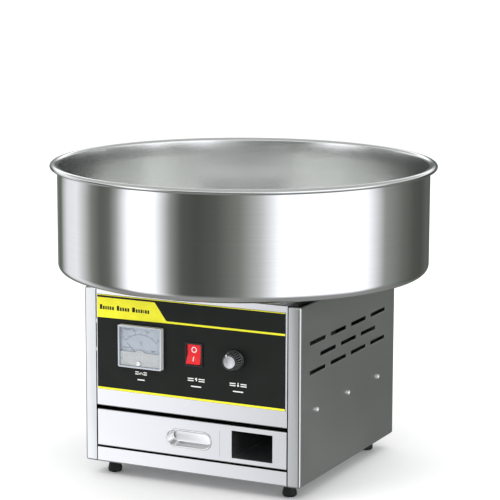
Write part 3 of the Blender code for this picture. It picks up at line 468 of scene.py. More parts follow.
def curved(points, per=4, closed=False):
    """A smooth curve (Catmull-Rom) through flat points."""
    count = len(points)
    spans = count if closed else count - 1
    made = []
    for index in range(spans):
        if closed:
            a, b, c, d = (Vector(points[(index + step) % count]) for step in (-1, 0, 1, 2))
        else:
            a, b, c, d = (Vector(points[min(max(index + step, 0), count - 1)]) for step in (-1, 0, 1, 2))
        for step in range(per):
            t = step / per
            made.append(tuple(0.5 * (2 * b + (c - a) * t + (2 * a - 5 * b + 4 * c - d) * t * t
                                     + (3 * b - a - 3 * c + d) * t ** 3)))
    return made if closed else made + [tuple(points[-1])]


def beside(path, distance, closed=False):
    """The path moved to its left by a distance."""
    moved = []
    count = len(path)
    for index, point in enumerate(path):
        before = path[(index - 1) % count] if closed else path[max(index - 1, 0)]
        after = path[(index + 1) % count] if closed else path[min(index + 1, count - 1)]
        along = Vector((after[0] - before[0], after[1] - before[1])).normalized()
        moved.append((point[0] - along.y * distance, point[1] + along.x * distance))
    return moved


def add_turned(bm, profile, steps, matrix=Matrix.Identity(4), wobble=None):
    """Turns a closed outline of (radius, z) points about local Z and places it.

    wobble(angle, index) may change a point's radius.
    """
    rings = []
    for index, (radius, z) in enumerate(profile):
        ring = []
        for step in range(steps if radius > 1e-7 else 1):
            angle = 2 * math.pi * step / steps
            r = radius + (wobble(angle, index) if wobble else 0.0)
            ring.append(bm.verts.new(matrix @ Vector((r * math.cos(angle), r * math.sin(angle), z))))
        rings.append(ring)
    pairs = list(zip(rings, rings[1:]))
    if len(rings[0]) > 1:
        pairs.append((rings[-1], rings[0]))
    for one, two in pairs:
        for step in range(steps):
            after = (step + 1) % steps
            corners = [one[step % len(one)], one[after % len(one)],
                       two[after % len(two)], two[step % len(two)]]
            unique = list(dict.fromkeys(corners))
            if len(unique) > 2:
                bm.faces.new(unique)


def add_prism(bm, outline, low, high, matrix):
    """A flat plate with a closed outline, between two heights on local Z."""
    rings = [[bm.verts.new(matrix @ Vector((x, y, z))) for x, y in outline] for z in (low, high)]
    count = len(outline)
    for index in range(count):
        after = (index + 1) % count
        bm.faces.new((rings[0][index], rings[0][after], rings[1][after], rings[1][index]))
    bm.faces.new(rings[0])
    bm.faces.new(rings[1])


def add_frame(bm, outer, inner, low, high, matrix):
    """A flat frame between two outlines of as many points."""
    rings = [[bm.verts.new(matrix @ Vector((x, y, z))) for x, y in outline]
             for outline, z in ((outer, low), (outer, high), (inner, high), (inner, low))]
    count = len(outer)
    for one, two in zip(rings, rings[1:] + rings[:1]):
        for index in range(count):
            after = (index + 1) % count
            bm.faces.new((one[index], one[after], two[after], two[index]))


def add_strip(bm, path, width, low, high, matrix, closed=False):
    """A strip of a width along a path, between two heights on local Z."""
    sides = beside(path, width / 2, closed), beside(path, -width / 2, closed)
    rails = []
    for side, z in ((0, low), (0, high), (1, high), (1, low)):
        rails.append([bm.verts.new(matrix @ Vector((x, y, z))) for x, y in sides[side]])
    count = len(path)
    for index in range(count if closed else count - 1):
        after = (index + 1) % count
        for rail in range(4):
            one, two = rails[rail], rails[(rail + 1) % 4]
            bm.faces.new((one[index], one[after], two[after], two[index]))
    if not closed:
        bm.faces.new([rail[0] for rail in rails])
        bm.faces.new([rail[-1] for rail in rails])


def bar(x0, y0, x1, y1):
    """A rectangle's outline."""
    return [(x0, y0), (x1, y0), (x1, y1), (x0, y1)]


# ---------------- bowl and head
def bowl_shell(looks):
    """The bowl as one thin spun sheet, from the collar in its floor to its curled rim."""
    low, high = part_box("floss_bowl")
    collar_r, collar_top, bend = 65.5 * MM, 290 * MM, 4 * MM
    path = [(collar_r, collar_top)]
    path += arc((collar_r + bend, low.z + bend), bend, 180, 270, 8)
    path += arc((BOWL_WALL_R - BOWL_CORNER_R, low.z + BOWL_CORNER_R), BOWL_CORNER_R, 270, 360, 16)
    curl_z = high.z - RIM_CURL_H / 2
    wall_start = low.z + BOWL_CORNER_R
    path += [(BOWL_WALL_R, wall_start + (curl_z - wall_start) * share / 6) for share in range(1, 6)]
    half_w = (high.x - BOWL_SHEET - BOWL_WALL_R) / 2
    flatness = (RIM_CURL_H / 2 - BOWL_SHEET) / half_w
    for across, up in arc((0.0, 0.0), half_w, 180, -100, 28):
        path.append((BOWL_WALL_R + half_w + across, curl_z + up * flatness))
    bm = bmesh.new()
    add_turned(bm, path + beside(path, BOWL_SHEET)[::-1], BOWL_TURNS)
    made = piece("bowl_shell", bm, looks["bowl_steel"], "bowl", 40)
    made.data.materials.append(looks["bowl_inside_painted_light"])
    made.data.materials.append(looks["bowl_rim_painted_shade"])
    # Inside faces take the lighter copy (painted light), the curl and rim the darker one (painted shade).
    for face in made.data.polygons:
        out = face.center.x * face.normal.x + face.center.y * face.normal.y
        if face.center.z < curl_z and (out < -0.1 * face.center.xy.length or face.normal.z > 0.5):
            face.material_index = 1
        elif face.center.z > curl_z or face.center.xy.length > BOWL_WALL_R + 0.5 * MM:
            face.material_index = 2
    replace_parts(made, "floss_bowl")


def head_pieces(looks):
    """Finer versions of the head's base and cap, which the CAD holds as 36-sided solids."""
    low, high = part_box("spinner_cap")
    top, r = high.z, high.x
    profile = [(23 * MM, low.z), (r - 0.6 * MM, low.z), (r, low.z + 0.6 * MM), (r, low.z + 3 * MM),
               (r - 4 * MM, top - 0.4 * MM), (r - 5 * MM, top), (28 * MM, top), (27 * MM, top - 0.3 * MM)]
    bm = bmesh.new()
    add_turned(bm, profile, ROUND_TURNS)
    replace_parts(piece("head_cap", bm, looks["aluminium"], "spinner", 30), "spinner_cap")

    low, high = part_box("spinner_base")
    r, bore, sleeve = high.x, 6.3 * MM, 14 * MM
    profile = [(bore, low.z), (sleeve, low.z), (sleeve, high.z - 3 * MM), (r - 0.4 * MM, high.z - 3 * MM),
               (r, high.z - 2.6 * MM), (r, high.z - 0.4 * MM), (r - 0.4 * MM, high.z), (bore, high.z)]
    bm = bmesh.new()
    add_turned(bm, profile, ROUND_TURNS)
    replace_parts(piece("head_base", bm, looks["aluminium"], "spinner", 30), "spinner_base")


# ---------------- cabinet
def feet(looks):
    """Waisted rubber feet, turned finer than the CAD's."""
    profile = curved([(6.6 * MM, 0.0), (8.6 * MM, 0.9 * MM), (9.5 * MM, 3.4 * MM), (9.35 * MM, 6.2 * MM),
                      (8.4 * MM, 9.8 * MM), (7.9 * MM, 14 * MM), (8.2 * MM, 19.2 * MM)])
    profile = [(0.0, 0.0)] + profile + [(7.8 * MM, 19.6 * MM), (0.0, 19.6 * MM)]
    for name in ("front_left_foot", "front_right_foot", "rear_left_foot", "rear_right_foot"):
        spot = middle(name)
        bm = bmesh.new()
        add_turned(bm, profile, SMALL_TURNS, Matrix.Translation((spot.x, spot.y, 0.0)))
        made = piece("turned_" + name, bm, looks["rubber"], "cabinet", 35)
        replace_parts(made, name)


def rivets(looks):
    """Domed rivet heads with a small rolled edge."""
    dome = curved([(3.1 * MM, 0.1 * MM), (3.1 * MM, 1.0 * MM), (2.7 * MM, 2.2 * MM), (1.7 * MM, 3.0 * MM),
                   (0.7 * MM, 3.25 * MM)])
    profile = [(0.0, -5.0 * MM), (1.6 * MM, -5.0 * MM), (1.6 * MM, 0.1 * MM)] + dome + [(0.0, 3.3 * MM)]
    for side, label in ((-1, "left"), (1, "right")):
        face_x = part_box(label + "_side_panel")[1 if side > 0 else 0].x
        for index in (1, 2, 3):
            name = "%s_rivet_%d" % (label, index)
            spot = middle(name)
            bm = bmesh.new()
            outward = Matrix.Rotation(side * math.pi / 2, 4, "Y")
            add_turned(bm, profile, SMALL_TURNS, Matrix.Translation((face_x, spot.y, spot.z)) @ outward)
            made = piece("domed_" + name, bm, looks["rivet_steel"], "cabinet", 40)
            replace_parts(made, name)


def pan_screw(bm, place, head_r, head_h):
    """A domed screw head."""
    dome = curved([(head_r, 0.0), (head_r * 0.96, head_h * 0.45), (head_r * 0.6, head_h * 0.9),
                   (head_r * 0.25, head_h)], 3)
    add_turned(bm, [(0.0, -0.5 * MM)] + [(head_r * 0.6, -0.5 * MM)] + dome + [(0.0, head_h)], 24, place)


def on_back(x, y, z):
    """Local Z away from the operator, from a spot."""
    return Matrix.Translation((x, y, z)) @ Matrix.Rotation(-math.pi / 2, 4, "X")


def back_screws(looks):
    """Six screws, along the back panel's top and bottom edges."""
    bm = bmesh.new()
    low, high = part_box("back_panel")
    margin = 8 * MM
    for x in (low.x + margin, 0.0, high.x - margin):
        for z in (low.z + margin, high.z - margin):
            pan_screw(bm, on_back(x, BACK_Y, z), 3.4 * MM, 1.6 * MM)
    piece("back_screws", bm, looks["pressed_steel"], "cabinet", 40)


def inlet_details(looks):
    """The inlet's three flat pins and its two screws."""
    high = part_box("power_inlet")[1]
    centre = middle("power_inlet")
    bm = bmesh.new()
    half_w, half_h, pin_length = 1.1 * MM, 2 * MM, 14 * MM
    root = high.y - 4.5 * MM - pin_length
    for x, z in ((-7 * MM, -1.8 * MM), (7 * MM, -1.8 * MM), (0.0, 1.8 * MM)):
        place = on_back(centre.x + x, root, centre.z + z)
        add_prism(bm, bar(-half_w, -half_h, half_w, half_h), 0.0, pin_length, place)
    piece("inlet_pins", bm, looks["brass"], "cabinet")
    bm = bmesh.new()
    for side in (-1, 1):
        pan_screw(bm, on_back(centre.x + side * 20 * MM, high.y, centre.z), 2.6 * MM, 1.2 * MM)
    piece("inlet_screws", bm, looks["pressed_steel"], "cabinet", 40)


# ---------------- drawer
def stadium(size, inset, per_end=24):
    """A flat outline with half-round ends, drawn in by inset."""
    radius = size[1] / 2
    straight = size[0] / 2 - radius
    return (arc((straight, 0.0), radius - inset, -90, 90, per_end)
            + arc((-straight, 0.0), radius - inset, 90, 270, per_end))


def finger_pull(looks):
    """The pressed cup in the drawer front, with a soft lip and a round-bottomed wall."""
    low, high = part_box("finger_pull")
    size = (high.x - low.x, high.z - low.z)
    lip = curved([(0.0, 0.3 * MM), (0.25 * MM, 0.85 * MM), (1.1 * MM, 1.0 * MM), (1.9 * MM, 0.75 * MM),
                  (2.6 * MM, -0.6 * MM), (3.2 * MM, -5.0 * MM), (3.9 * MM, -8.6 * MM),
                  (5.2 * MM, -10.6 * MM), (7.0 * MM, -PULL_DEPTH + 1 * MM)])
    under = [(7.0 * MM, -PULL_DEPTH), (3.4 * MM, -10.4 * MM), (2.0 * MM, -5.0 * MM), (1.6 * MM, 0.3 * MM)]
    bm = bmesh.new()
    place = in_front_of("finger_pull")
    rings = []
    for inset, depth in lip + under:
        rings.append([bm.verts.new(place @ Vector((x, y, depth))) for x, y in stadium(size, inset)])
    floor_index = len(lip) - 1
    for index, ring in enumerate(rings):
        other = rings[(index + 1) % len(rings)]
        if index != floor_index:
            for step in range(len(ring)):
                after = (step + 1) % len(ring)
                bm.faces.new((ring[step], ring[after], other[after], other[step]))
    bm.faces.new(rings[floor_index])
    bm.faces.new(rings[floor_index + 1])
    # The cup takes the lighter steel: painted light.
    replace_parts(piece("pressed_pull", bm, looks["lit_pull_steel"], "drawer", 50),
                "finger_pull")


def drawer_shadow_line(looks):
    """A fine, darker upright line between the pull and the stick opening: a painted shadow line."""
    bm = bmesh.new()
    line_x, low_z, high_z, half_width = 43.45 * MM, 49 * MM, 84 * MM, 0.25 * MM
    outline = (arc((line_x, high_z - half_width), half_width, 0, 180, 6)
               + arc((line_x, low_z + half_width), half_width, 180, 360, 6))
    add_prism(bm, outline, -0.05 * MM, 0.03 * MM, on_front(0.0, 0.0))
    piece("drawer_shadow_line", bm, looks["zinc_steel"], "drawer")


# ---------------- overlay print
def on_overlay():
    """Local X and Y are the frame's X and Z, on the overlay's face."""
    return on_front(0.0, 0.0, FRONT_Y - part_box("fascia_overlay")[0].y)


def overlay_yellow(looks):
    """The flag at upper left with the line that leads on from it, and the lines at top and bottom."""
    low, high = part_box("fascia_overlay")
    place = on_overlay()
    left, right = low.x + 0.2 * MM, high.x - 0.2 * MM
    flag_top, flag_foot = 245 * MM, 217.8 * MM
    line_top, line_foot = 221.6 * MM, 219 * MM
    flag_tip, flag_bend, flag_root = -51.4 * MM, -34.4 * MM, -30.2 * MM
    bm = bmesh.new()
    add_prism(bm, bar(left, high.z - 1.3 * MM, right, high.z - 0.3 * MM), -INK, INK, place)
    add_prism(bm, [(left, flag_foot), (flag_root, line_foot), (right, line_foot), (right, line_top),
                   (flag_bend, line_top), (flag_tip, flag_top), (left, flag_top)], -INK, INK, place)
    add_prism(bm, bar(left, low.z + 0.3 * MM, right, low.z + 3.0 * MM), -INK, INK, place)
    piece("overlay_yellow", bm, looks["yellow_ink"], "cabinet")


def flag_marks(looks):
    """Generic bars in place of the title: three groups, each with a taller first bar."""
    place = on_overlay()
    bm = bmesh.new()
    x, foot, tall, gap, word_gap = -133.8, 228.9, 6.4, 1.05, 3.4    # all in mm
    short = 0.72 * tall
    for word in ((3.6, 2.6, 2.2, 2.2, 2.6, 2.8), (3.6, 2.6, 2.8, 2.8, 2.6),
                 (4.4, 2.6, 2.6, 2.8, 1.4, 2.8, 2.6)):
        for index, width in enumerate(word):
            top = foot + (short if index else tall)
            add_prism(bm, bar(x * MM, foot * MM, (x + width) * MM, top * MM), INK, 2 * INK, place)
            x += width + gap
        x += word_gap
    piece("flag_marks", bm, looks["black_ink"], "cabinet")


def label_marks(looks):
    """A sign, dashes beside it and a bar below it, under each control."""
    place = on_overlay()
    bm = bmesh.new()
    for centre_x, width in (METER_LABEL, SWITCH_LABEL, KNOB_LABEL):
        low_row = bar(centre_x - width * 0.30, 138.2 * MM, centre_x + width * 0.30, 139.7 * MM)
        add_prism(bm, low_row, -INK, INK, place)
        for side in (-1, 1):
            ends = sorted((centre_x + side * 3.6 * MM, centre_x + side * width / 2))
            for z in (145.8 * MM, 148.6 * MM):
                add_prism(bm, bar(ends[0], z, ends[1], z + 1.3 * MM), -INK, INK, place)
    pictograms(bm, place)
    piece("label_marks", bm, looks["white_ink"], "cabinet")


def pictograms(bm, place):
    """A gauge, a lightning bolt and a thermometer: generic signs for the three controls."""
    line = 0.7 * MM
    gauge = (METER_LABEL[0], 146.0 * MM)
    add_strip(bm, arc(gauge, 2.6 * MM, 0, 180, 12), line, -INK, INK, place)
    add_strip(bm, [gauge, (gauge[0] - 1.2 * MM, gauge[1] + 1.9 * MM)], line, -INK, INK, place)
    x, z = SWITCH_LABEL[0], 145.6 * MM
    bolt = [(0.4, 0.0), (2.0, 3.0), (0.7, 3.0), (1.4, 5.0), (-0.9, 5.0), (-1.7, 2.2), (-0.3, 2.2)]
    add_prism(bm, [(x + u * MM, z + v * MM) for u, v in bolt], -INK, INK, place)
    x = KNOB_LABEL[0]
    add_prism(bm, arc((x, z + 1.3 * MM), 1.4 * MM, 0, 345, 23), -INK, INK, place)
    add_prism(bm, bar(x - 0.6 * MM, z + 2.4 * MM, x + 0.6 * MM, z + 5.2 * MM), -INK, INK, place)


# ---------------- meter
DIGITS = {
    "0": [[(0, 0), (2, 0), (2, 4), (0, 4), (0, 0)]],
    "1": [[(1, 0), (1, 4)]],
    "2": [[(0, 4), (2, 4), (2, 2), (0, 2), (0, 0), (2, 0)]],
    "3": [[(0, 4), (2, 4), (2, 0), (0, 0)], [(0.5, 2), (2, 2)]],
}


def scale_point(share, radius):
    """A point at a share of the scale, 0 to 1, and at a radius from the needle's pivot."""
    angle = math.radians(SCALE_START - SCALE_SWEEP * share)
    pivot = Vector((middle("meter_case").x, METER_PIVOT_Z))
    return pivot + radius * Vector((math.cos(angle), math.sin(angle)))


def add_scale(bm, place):
    """The scale's arc, and its ticks: each tenth is longest and each fifth is bold."""
    pivot = (middle("meter_case").x, METER_PIVOT_Z)
    scale_end = SCALE_START - SCALE_SWEEP
    add_strip(bm, arc(pivot, SCALE_R, scale_end, SCALE_START, 48), 0.35 * MM, -INK, INK, place)
    ticks = 30
    for index in range(ticks + 1):
        share = index / ticks
        length = 3.0 * MM if index % 10 == 0 else 2.2 * MM if index % 5 == 0 else 1.3 * MM
        width = 0.45 * MM if index % 5 == 0 else 0.22 * MM
        ends = [tuple(scale_point(share, SCALE_R + length)), tuple(scale_point(share, SCALE_R))]
        add_strip(bm, ends, width, -INK, INK, place)


def add_numbers(bm, place):
    """The numbers above the scale, in strokes."""
    numbers = ("0", "100", "200", "300")
    size, pitch = 0.58 * MM, 1.9 * MM
    for step, number in enumerate(numbers):
        spot = scale_point(step / (len(numbers) - 1), SCALE_R + 5.6 * MM)
        for index, digit in enumerate(number):
            x = spot.x + (index - (len(number) - 1) / 2) * pitch - size
            for path in DIGITS[digit]:
                points = [(x + u * size, spot.y + (v - 2) * size) for u, v in path]
                add_strip(bm, points, 0.32 * MM, -INK, INK, place)


def dial_print(looks):
    """The scale, a generic unit sign and bars in place of the small print."""
    place = on_front(0.0, 0.0, METER_DIAL_FRONT)
    bm = bmesh.new()
    add_scale(bm, place)
    add_numbers(bm, place)
    chevron = [(-2.0, 2.4), (0.0, -2.2), (2.0, 2.4)]
    x, z = middle("meter_case").x, 189.6 * MM
    add_strip(bm, [(x + u * MM, z + v * MM) for u, v in chevron], 0.55 * MM, -INK, INK, place)
    add_prism(bm, bar(x - 1.6 * MM, z - 3.2 * MM, x + 1.6 * MM, z - 2.8 * MM), -INK, INK, place)
    for x, z, width in ((-97.5, 206.8, 17.0), (-97.5, 181.6, 11.5), (-55.0, 180.0, 6.0)):
        add_prism(bm, bar(x * MM, z * MM, (x + width) * MM, (z + 0.6) * MM), -INK, INK, place)
        add_prism(bm, bar(x * MM, (z - 1.3) * MM, (x + width * 0.7) * MM, (z - 0.8) * MM), -INK, INK, place)
    piece("dial_print", bm, looks["grey_ink"], "cabinet")


def meter_bezel(looks):
    """The grey edge round the window, and the one round the case's front."""
    low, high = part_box("meter_case")
    rounding = 0.9 * MM
    case_w, case_h = high.x - low.x - rounding, high.z - low.z - rounding
    bm = bmesh.new()
    for w, h, thick, z0, z1 in ((60 * MM, 52 * MM, 0.3 * MM, METER_DIAL_FRONT, METER_FRONT),
                                (case_w, case_h, 1.7 * MM, METER_FRONT - INK, METER_FRONT + INK)):
        ring = [(-w / 2, -h / 2), (-w / 2, h / 2), (w / 2, h / 2), (w / 2, -h / 2)]
        inner = [(x - math.copysign(thick, x), y - math.copysign(thick, y)) for x, y in ring]
        add_frame(bm, ring, inner, z0, z1, in_front_of("meter_case"))
    piece("meter_bezel", bm, looks["bezel_card"], "cabinet")


def cover_outline():
    """The lower cover's edge from its lower left corner; it bulges up round the needle's pivot."""
    bulge, shoulder, half = 11 * MM, -7.6 * MM, 29.4 * MM
    pivot_z = METER_PIVOT_Z - middle("meter_case").z
    lean = math.degrees(math.asin((shoulder - pivot_z) / bulge))
    return ([(-half, -25.4 * MM), (half, -25.4 * MM), (half, shoulder)]
            + arc((0.0, pivot_z), bulge, lean, 180 - lean, 24) + [(-half, shoulder)])


def lower_cover(looks):
    """The frosted cover between the needle and the window."""
    bm = bmesh.new()
    place = in_front_of("meter_case")
    add_prism(bm, cover_outline(), METER_COVER_BACK, METER_COVER_FRONT, place)
    piece("meter_lower_cover", bm, looks["frosted_cover"], "cabinet")


def cover_details(looks):
    """The cover's raised upper edge, its two ribs and its two screws."""
    place = in_front_of("meter_case")
    bm = bmesh.new()
    add_strip(bm, cover_outline()[2:], 0.7 * MM, 5.8 * MM, 6.3 * MM, place)
    rib_top = METER_PIVOT_Z - middle("meter_case").z + 9.6 * MM
    for x in (-4.2 * MM, 4.2 * MM):
        add_prism(bm, bar(x - 0.5 * MM, -16 * MM, x + 0.5 * MM, rib_top), 5.9 * MM, 6.2 * MM, place)
    piece("meter_cover_lip", bm, looks["cover_lip"], "cabinet")
    bm = bmesh.new()
    for x in (-27.2 * MM, 26.9 * MM):
        pan_screw(bm, place @ Matrix.Translation((x, -15.9 * MM, 5.9 * MM)), 1.5 * MM, 0.5 * MM)
    piece("meter_cover_screws", bm, looks["zinc_steel"], "cabinet", 40)


def needle(looks):
    """The needle as a fine blade with a tail on its hub; at rest it points at zero."""
    x = middle("meter_case").x
    low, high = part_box("meter_needle")
    tip_r = math.dist((x, METER_PIVOT_Z), (low.x, high.z)) - 1.0 * MM
    blade = Matrix.Rotation(math.radians(SCALE_START), 4, "Z")
    place = on_front(x, METER_PIVOT_Z)
    bm = bmesh.new()
    add_turned(bm, [(0.0, 3.7 * MM), (2.0 * MM, 3.7 * MM), (2.0 * MM, 4.6 * MM), (1.4 * MM, 5.1 * MM),
                    (0.0, 5.1 * MM)], SMALL_TURNS, place)
    add_prism(bm, [(-5 * MM, -0.6 * MM), (0.0, -0.5 * MM), (tip_r, -0.12 * MM), (tip_r, 0.12 * MM),
                   (0.0, 0.5 * MM), (-5 * MM, 0.6 * MM)], 4.25 * MM, 4.55 * MM, place @ blade)
    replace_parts(piece("fine_needle", bm, looks["grey_ink"], "meter_pointer", 30),
                "meter_needle")


# ---------------- rocker and knob
def rocker_marks(looks):
    """The open ring (off) above and the bar (on) below, each lying on its half of the rocker."""
    spot = middle("rocker_housing")
    reach, lip, dip = 12.9 * MM, 3.9 * MM, 1.5 * MM
    lean = math.atan2(lip - dip, reach)
    tilt = on_front(spot.x, spot.z, -0.5 * MM) @ Matrix.Rotation(-ROCKER_TILT, 4, "X")
    bm = bmesh.new()
    for side in (1, -1):
        height = 6.0 * MM
        rise = dip + (lip - dip) * height / reach
        face = tilt @ Matrix.Translation((0.0, side * height, rise)) @ Matrix.Rotation(side * lean, 4, "X")
        if side > 0:
            ring = arc((0.0, 0.0), 3.3 * MM, 0, 352.5, 47)
            add_strip(bm, ring, 1.15 * MM, -INK, 0.12 * MM, face, closed=True)
        else:
            add_prism(bm, bar(-0.6 * MM, -3.0 * MM, 0.6 * MM, 3.0 * MM), -INK, 0.12 * MM, face)
    piece("rocker_marks", bm, looks["white_ink"], "power_rocker")


def fluted_knob(looks):
    """The knob with its skirt and rounded flutes."""
    flute_depth = 0.95 * MM
    skirt = curved([(13.7 * MM, FACE), (14.0 * MM, 1.5 * MM), (13.9 * MM, 3.2 * MM), (13.2 * MM, 4.0 * MM),
                    (12.2 * MM, 4.5 * MM)], 3)
    grip = curved([(11.9 * MM, 5.4 * MM), (11.5 * MM, 8.0 * MM), (11.0 * MM, 13.0 * MM),
                   (10.6 * MM, KNOB_TOP - 1.4 * MM), (9.9 * MM, KNOB_TOP - 0.3 * MM)], 3)
    shaft = [(0.0, -12 * MM), (3 * MM, -12 * MM), (3 * MM, FACE)]
    first, last = len(shaft + skirt), len(shaft + skirt + grip) - 1
    profile = shaft + skirt + grip + [(9.3 * MM, KNOB_TOP), (0.0, KNOB_TOP)]

    def wobble(angle, index):
        if not first <= index < last:
            return 0.0
        return -flute_depth * (0.5 - 0.5 * math.cos(FLUTES * angle)) ** 1.5

    bm = bmesh.new()
    add_turned(bm, profile, FLUTES * 12, in_front_of("knob"), wobble)
    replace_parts(piece("fluted_knob", bm, looks["knob_plastic"], "heat_knob", 45), "knob")


def knob_ribs(looks):
    """The lighter crests between the flutes, a painted highlight along each crest."""
    bm = bmesh.new()
    rib = [(11.85 * MM, 5.6 * MM), (11.5 * MM, 8.0 * MM), (11.0 * MM, 13.0 * MM), (10.65 * MM, 15.9 * MM)]
    for index in range(FLUTES):
        turn = Matrix.Rotation(2 * math.pi * index / FLUTES, 4, "Z") @ UPRIGHT
        add_strip(bm, rib, 0.3 * MM, -0.6 * MM, 0.6 * MM, in_front_of("knob") @ turn)
    piece("knob_ribs", bm, looks["crest_highlight_plastic"], "heat_knob", 30)


def knob_cap(looks):
    """The metal disc with a raised rim in the knob's end."""
    bm = bmesh.new()
    r = 8.1 * MM
    profile = [(0.0, KNOB_TOP - 0.3 * MM), (r, KNOB_TOP - 0.3 * MM), (r, KNOB_TOP + 0.25 * MM),
               (r - 0.35 * MM, KNOB_TOP + 0.5 * MM), (r - 1.1 * MM, KNOB_TOP + 0.5 * MM),
               (r - 1.4 * MM, KNOB_TOP + 0.35 * MM), (0.0, KNOB_TOP + 0.35 * MM)]
    add_turned(bm, profile, SMALL_TURNS, in_front_of("knob"))
    piece("knob_cap", bm, looks["knob_cap"], "heat_knob", 30)


def knob_pointer(looks):
    """The white line from the cap's edge down the grip's side."""
    bm = bmesh.new()
    radial = in_front_of("knob") @ Matrix.Rotation(POINTER_ANGLE, 4, "Z") @ UPRIGHT
    line = [(8.4 * MM, KNOB_TOP + 0.1 * MM), (9.7 * MM, KNOB_TOP), (10.5 * MM, KNOB_TOP - 0.9 * MM),
            (10.9 * MM, 14.0 * MM), (11.4 * MM, 9.5 * MM)]
    add_strip(bm, line, 0.5 * MM, -0.85 * MM, 0.85 * MM, radial)
    piece("knob_pointer", bm, looks["white_ink"], "heat_knob", 30)


# ---------------- studio
DARK_TINT = (0.93, 1.0, 0.89)               # the dark panels' colour and the bright ones'
BRIGHT_TINT = (0.99, 1.0, 1.05)
# The sine of the elevation where one zone fades into the next.
LOW_TO_HIGH = (0.15, 0.32)
HIGH_TO_ROOF = (0.26, 0.44)
UNDER_TO_LOW = (-0.75, -0.35)
# Azimuth in degrees, 0 in front of the machine and 90 to its right, and how bright the studio is there.
LOW_BANDS = ((-180, 0.13), (-154, 0.09), (-143, 0.26), (-131, 0.14), (-125, 0.17), (-119, 0.52),
             (-111, 0.88), (-97, 0.98), (-88, 0.62), (-80, 0.25), (-71, 0.12), (-63, 0.155), (-57, 0.40),
             (-50, 1.10), (-44, 1.60), (-33, 1.70), (-26, 0.96), (-19, 0.32), (-12, 0.105), (-2, 0.08),
             (10, 0.112), (24, 0.235), (36, 0.56), (43, 0.98), (50, 1.45), (104, 1.45), (112, 0.95),
             (122, 0.33), (140, 0.17), (154, 0.10), (166, 0.085), (180, 0.13))
HIGH_BANDS = ((-180, 1.7), (-150, 2.6), (-120, 1.8), (-80, 2.0), (-40, 2.2), (-10, 3.0), (25, 3.6),
              (60, 3.2), (90, 2.4), (130, 1.5), (180, 1.7))
OVERHEAD = (0.62, 0.62, 0.62)
UNDERNEATH = (0.30, 0.30, 0.30)
SOFT_ROOM = (1.12, 1.12, 1.12)
BACKDROP = (1.0, 1.0, 1.0)


def floor():
    """A pale floor that metal doesn't mirror."""
    bm = bmesh.new()
    bmesh.ops.create_grid(bm, x_segments=8, y_segments=8, size=40.0)
    mesh = bpy.data.meshes.new("floor")
    bm.to_mesh(mesh)
    bm.free()
    ground = bpy.data.objects.new("floor", mesh)
    bpy.context.scene.collection.objects.link(ground)
    made, shader, nodes = new_look("floor", Roughness=0.9, Specular_IOR_Level=0.0)
    grain = nodes.noise(nodes.place((60.0,) * 3), detail=3.0)
    nodes.link(nodes.blend(nodes.span(grain, 0.3, 0.7, 0.0, 1.0), (0.95, 0.95, 0.95), (0.94, 0.94, 0.94)),
               shader.inputs["Base Color"])
    mesh.materials.append(made)
    ground.visible_glossy = False


def studio():
    """A world of broad bright and dark panels, as a product photographer lights metal."""
    world = bpy.data.worlds.new("studio")
    bpy.context.scene.world = world
    world.use_nodes = True
    nodes = Nodes(world.node_tree)
    background = world.node_tree.nodes["Background"]
    direction = nodes.add("TexCoord")
    parts = nodes.add("SeparateXYZ")
    nodes.link(direction.outputs["Generated"], parts.inputs["Vector"])
    height = parts.outputs["Z"]
    turn = nodes.math("ARCTAN2", parts.outputs["X"], nodes.math("MULTIPLY", parts.outputs["Y"], -1.0))
    share = nodes.span(turn, -math.pi, math.pi, 0.0, 1.0)
    low = nodes.ramp(share, LOW_BANDS)
    high = nodes.ramp(share, HIGH_BANDS)
    walls = nodes.blend(nodes.span(height, *LOW_TO_HIGH, 0.0, 1.0), low, high)
    roof = nodes.blend(nodes.span(height, *HIGH_TO_ROOF, 0.0, 1.0), walls, OVERHEAD)
    lit = nodes.blend(nodes.span(height, *UNDER_TO_LOW, 1.0, 0.0), roof, UNDERNEATH)
    seen = nodes.add("LightPath")
    even = nodes.math("MAXIMUM", seen.outputs["Is Diffuse Ray"], seen.outputs["Is Transmission Ray"])
    soft = nodes.blend(even, lit, SOFT_ROOM)
    nodes.link(nodes.blend(seen.outputs["Is Camera Ray"], soft, BACKDROP), background.inputs["Color"])
    background.inputs["Strength"].default_value = 1.0


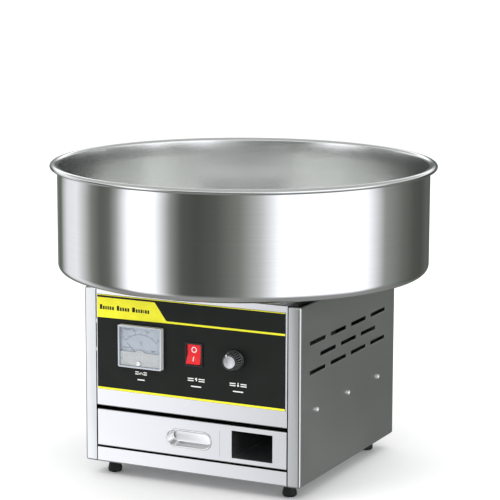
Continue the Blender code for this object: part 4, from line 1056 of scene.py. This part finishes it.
def soft_light(name, power, size, place, target):
    """An area light that looks at a point and that metal doesn't mirror."""
    data = bpy.data.lights.new(name, "AREA")
    data.energy = power
    data.shape = "RECTANGLE"
    data.size, data.size_y = size
    made = bpy.data.objects.new(name, data)
    made.location = place
    made.rotation_euler = (Vector(target) - Vector(place)).to_track_quat("-Z", "Y").to_euler()
    made.visible_glossy = False
    bpy.context.scene.collection.objects.link(made)


CAMERA_PLACE = (1.2566, -2.5476, 0.8049)
CAMERA_AZIMUTH = math.radians(26.078)
CAMERA_ELEVATION = math.radians(10.205)
CAMERA_ROLL = math.radians(0.172)


def camera():
    """A long lens, from the right of the front and a little above."""
    data = bpy.data.cameras.new("camera")
    data.sensor_width = 36
    data.lens = 153.5
    data.clip_start = 0.1
    data.clip_end = 200
    made = bpy.data.objects.new("camera", data)
    across = math.cos(CAMERA_ELEVATION)
    back = Vector((math.sin(CAMERA_AZIMUTH) * across, -math.cos(CAMERA_AZIMUTH) * across,
                   math.sin(CAMERA_ELEVATION)))
    turn = back.to_track_quat("Z", "Y").to_matrix().to_4x4()
    made.matrix_world = Matrix.Translation(CAMERA_PLACE) @ turn @ Matrix.Rotation(CAMERA_ROLL, 4, "Z")
    bpy.context.scene.collection.objects.link(made)
    bpy.context.scene.camera = made


# ---------------- build
looks = make_looks()
dress_nodes(looks)
bowl_shell(looks)
head_pieces(looks)
feet(looks)
rivets(looks)
back_screws(looks)
inlet_details(looks)
finger_pull(looks)
drawer_shadow_line(looks)
overlay_yellow(looks)
flag_marks(looks)
label_marks(looks)
dial_print(looks)
meter_bezel(looks)
lower_cover(looks)
needle(looks)
cover_details(looks)
rocker_marks(looks)
fluted_knob(looks)
knob_ribs(looks)
knob_cap(looks)
knob_pointer(looks)
floor()
studio()
camera()
soft_light("key", 26, (1.6, 1.2), (-1.2, -2.0, 2.4), (0, 0, 0.2))
soft_light("top", 18, (2.0, 2.0), (0.6, 0.4, 2.8), (0, 0, 0.2))
bpy.context.scene.view_settings.view_transform = "Standard"
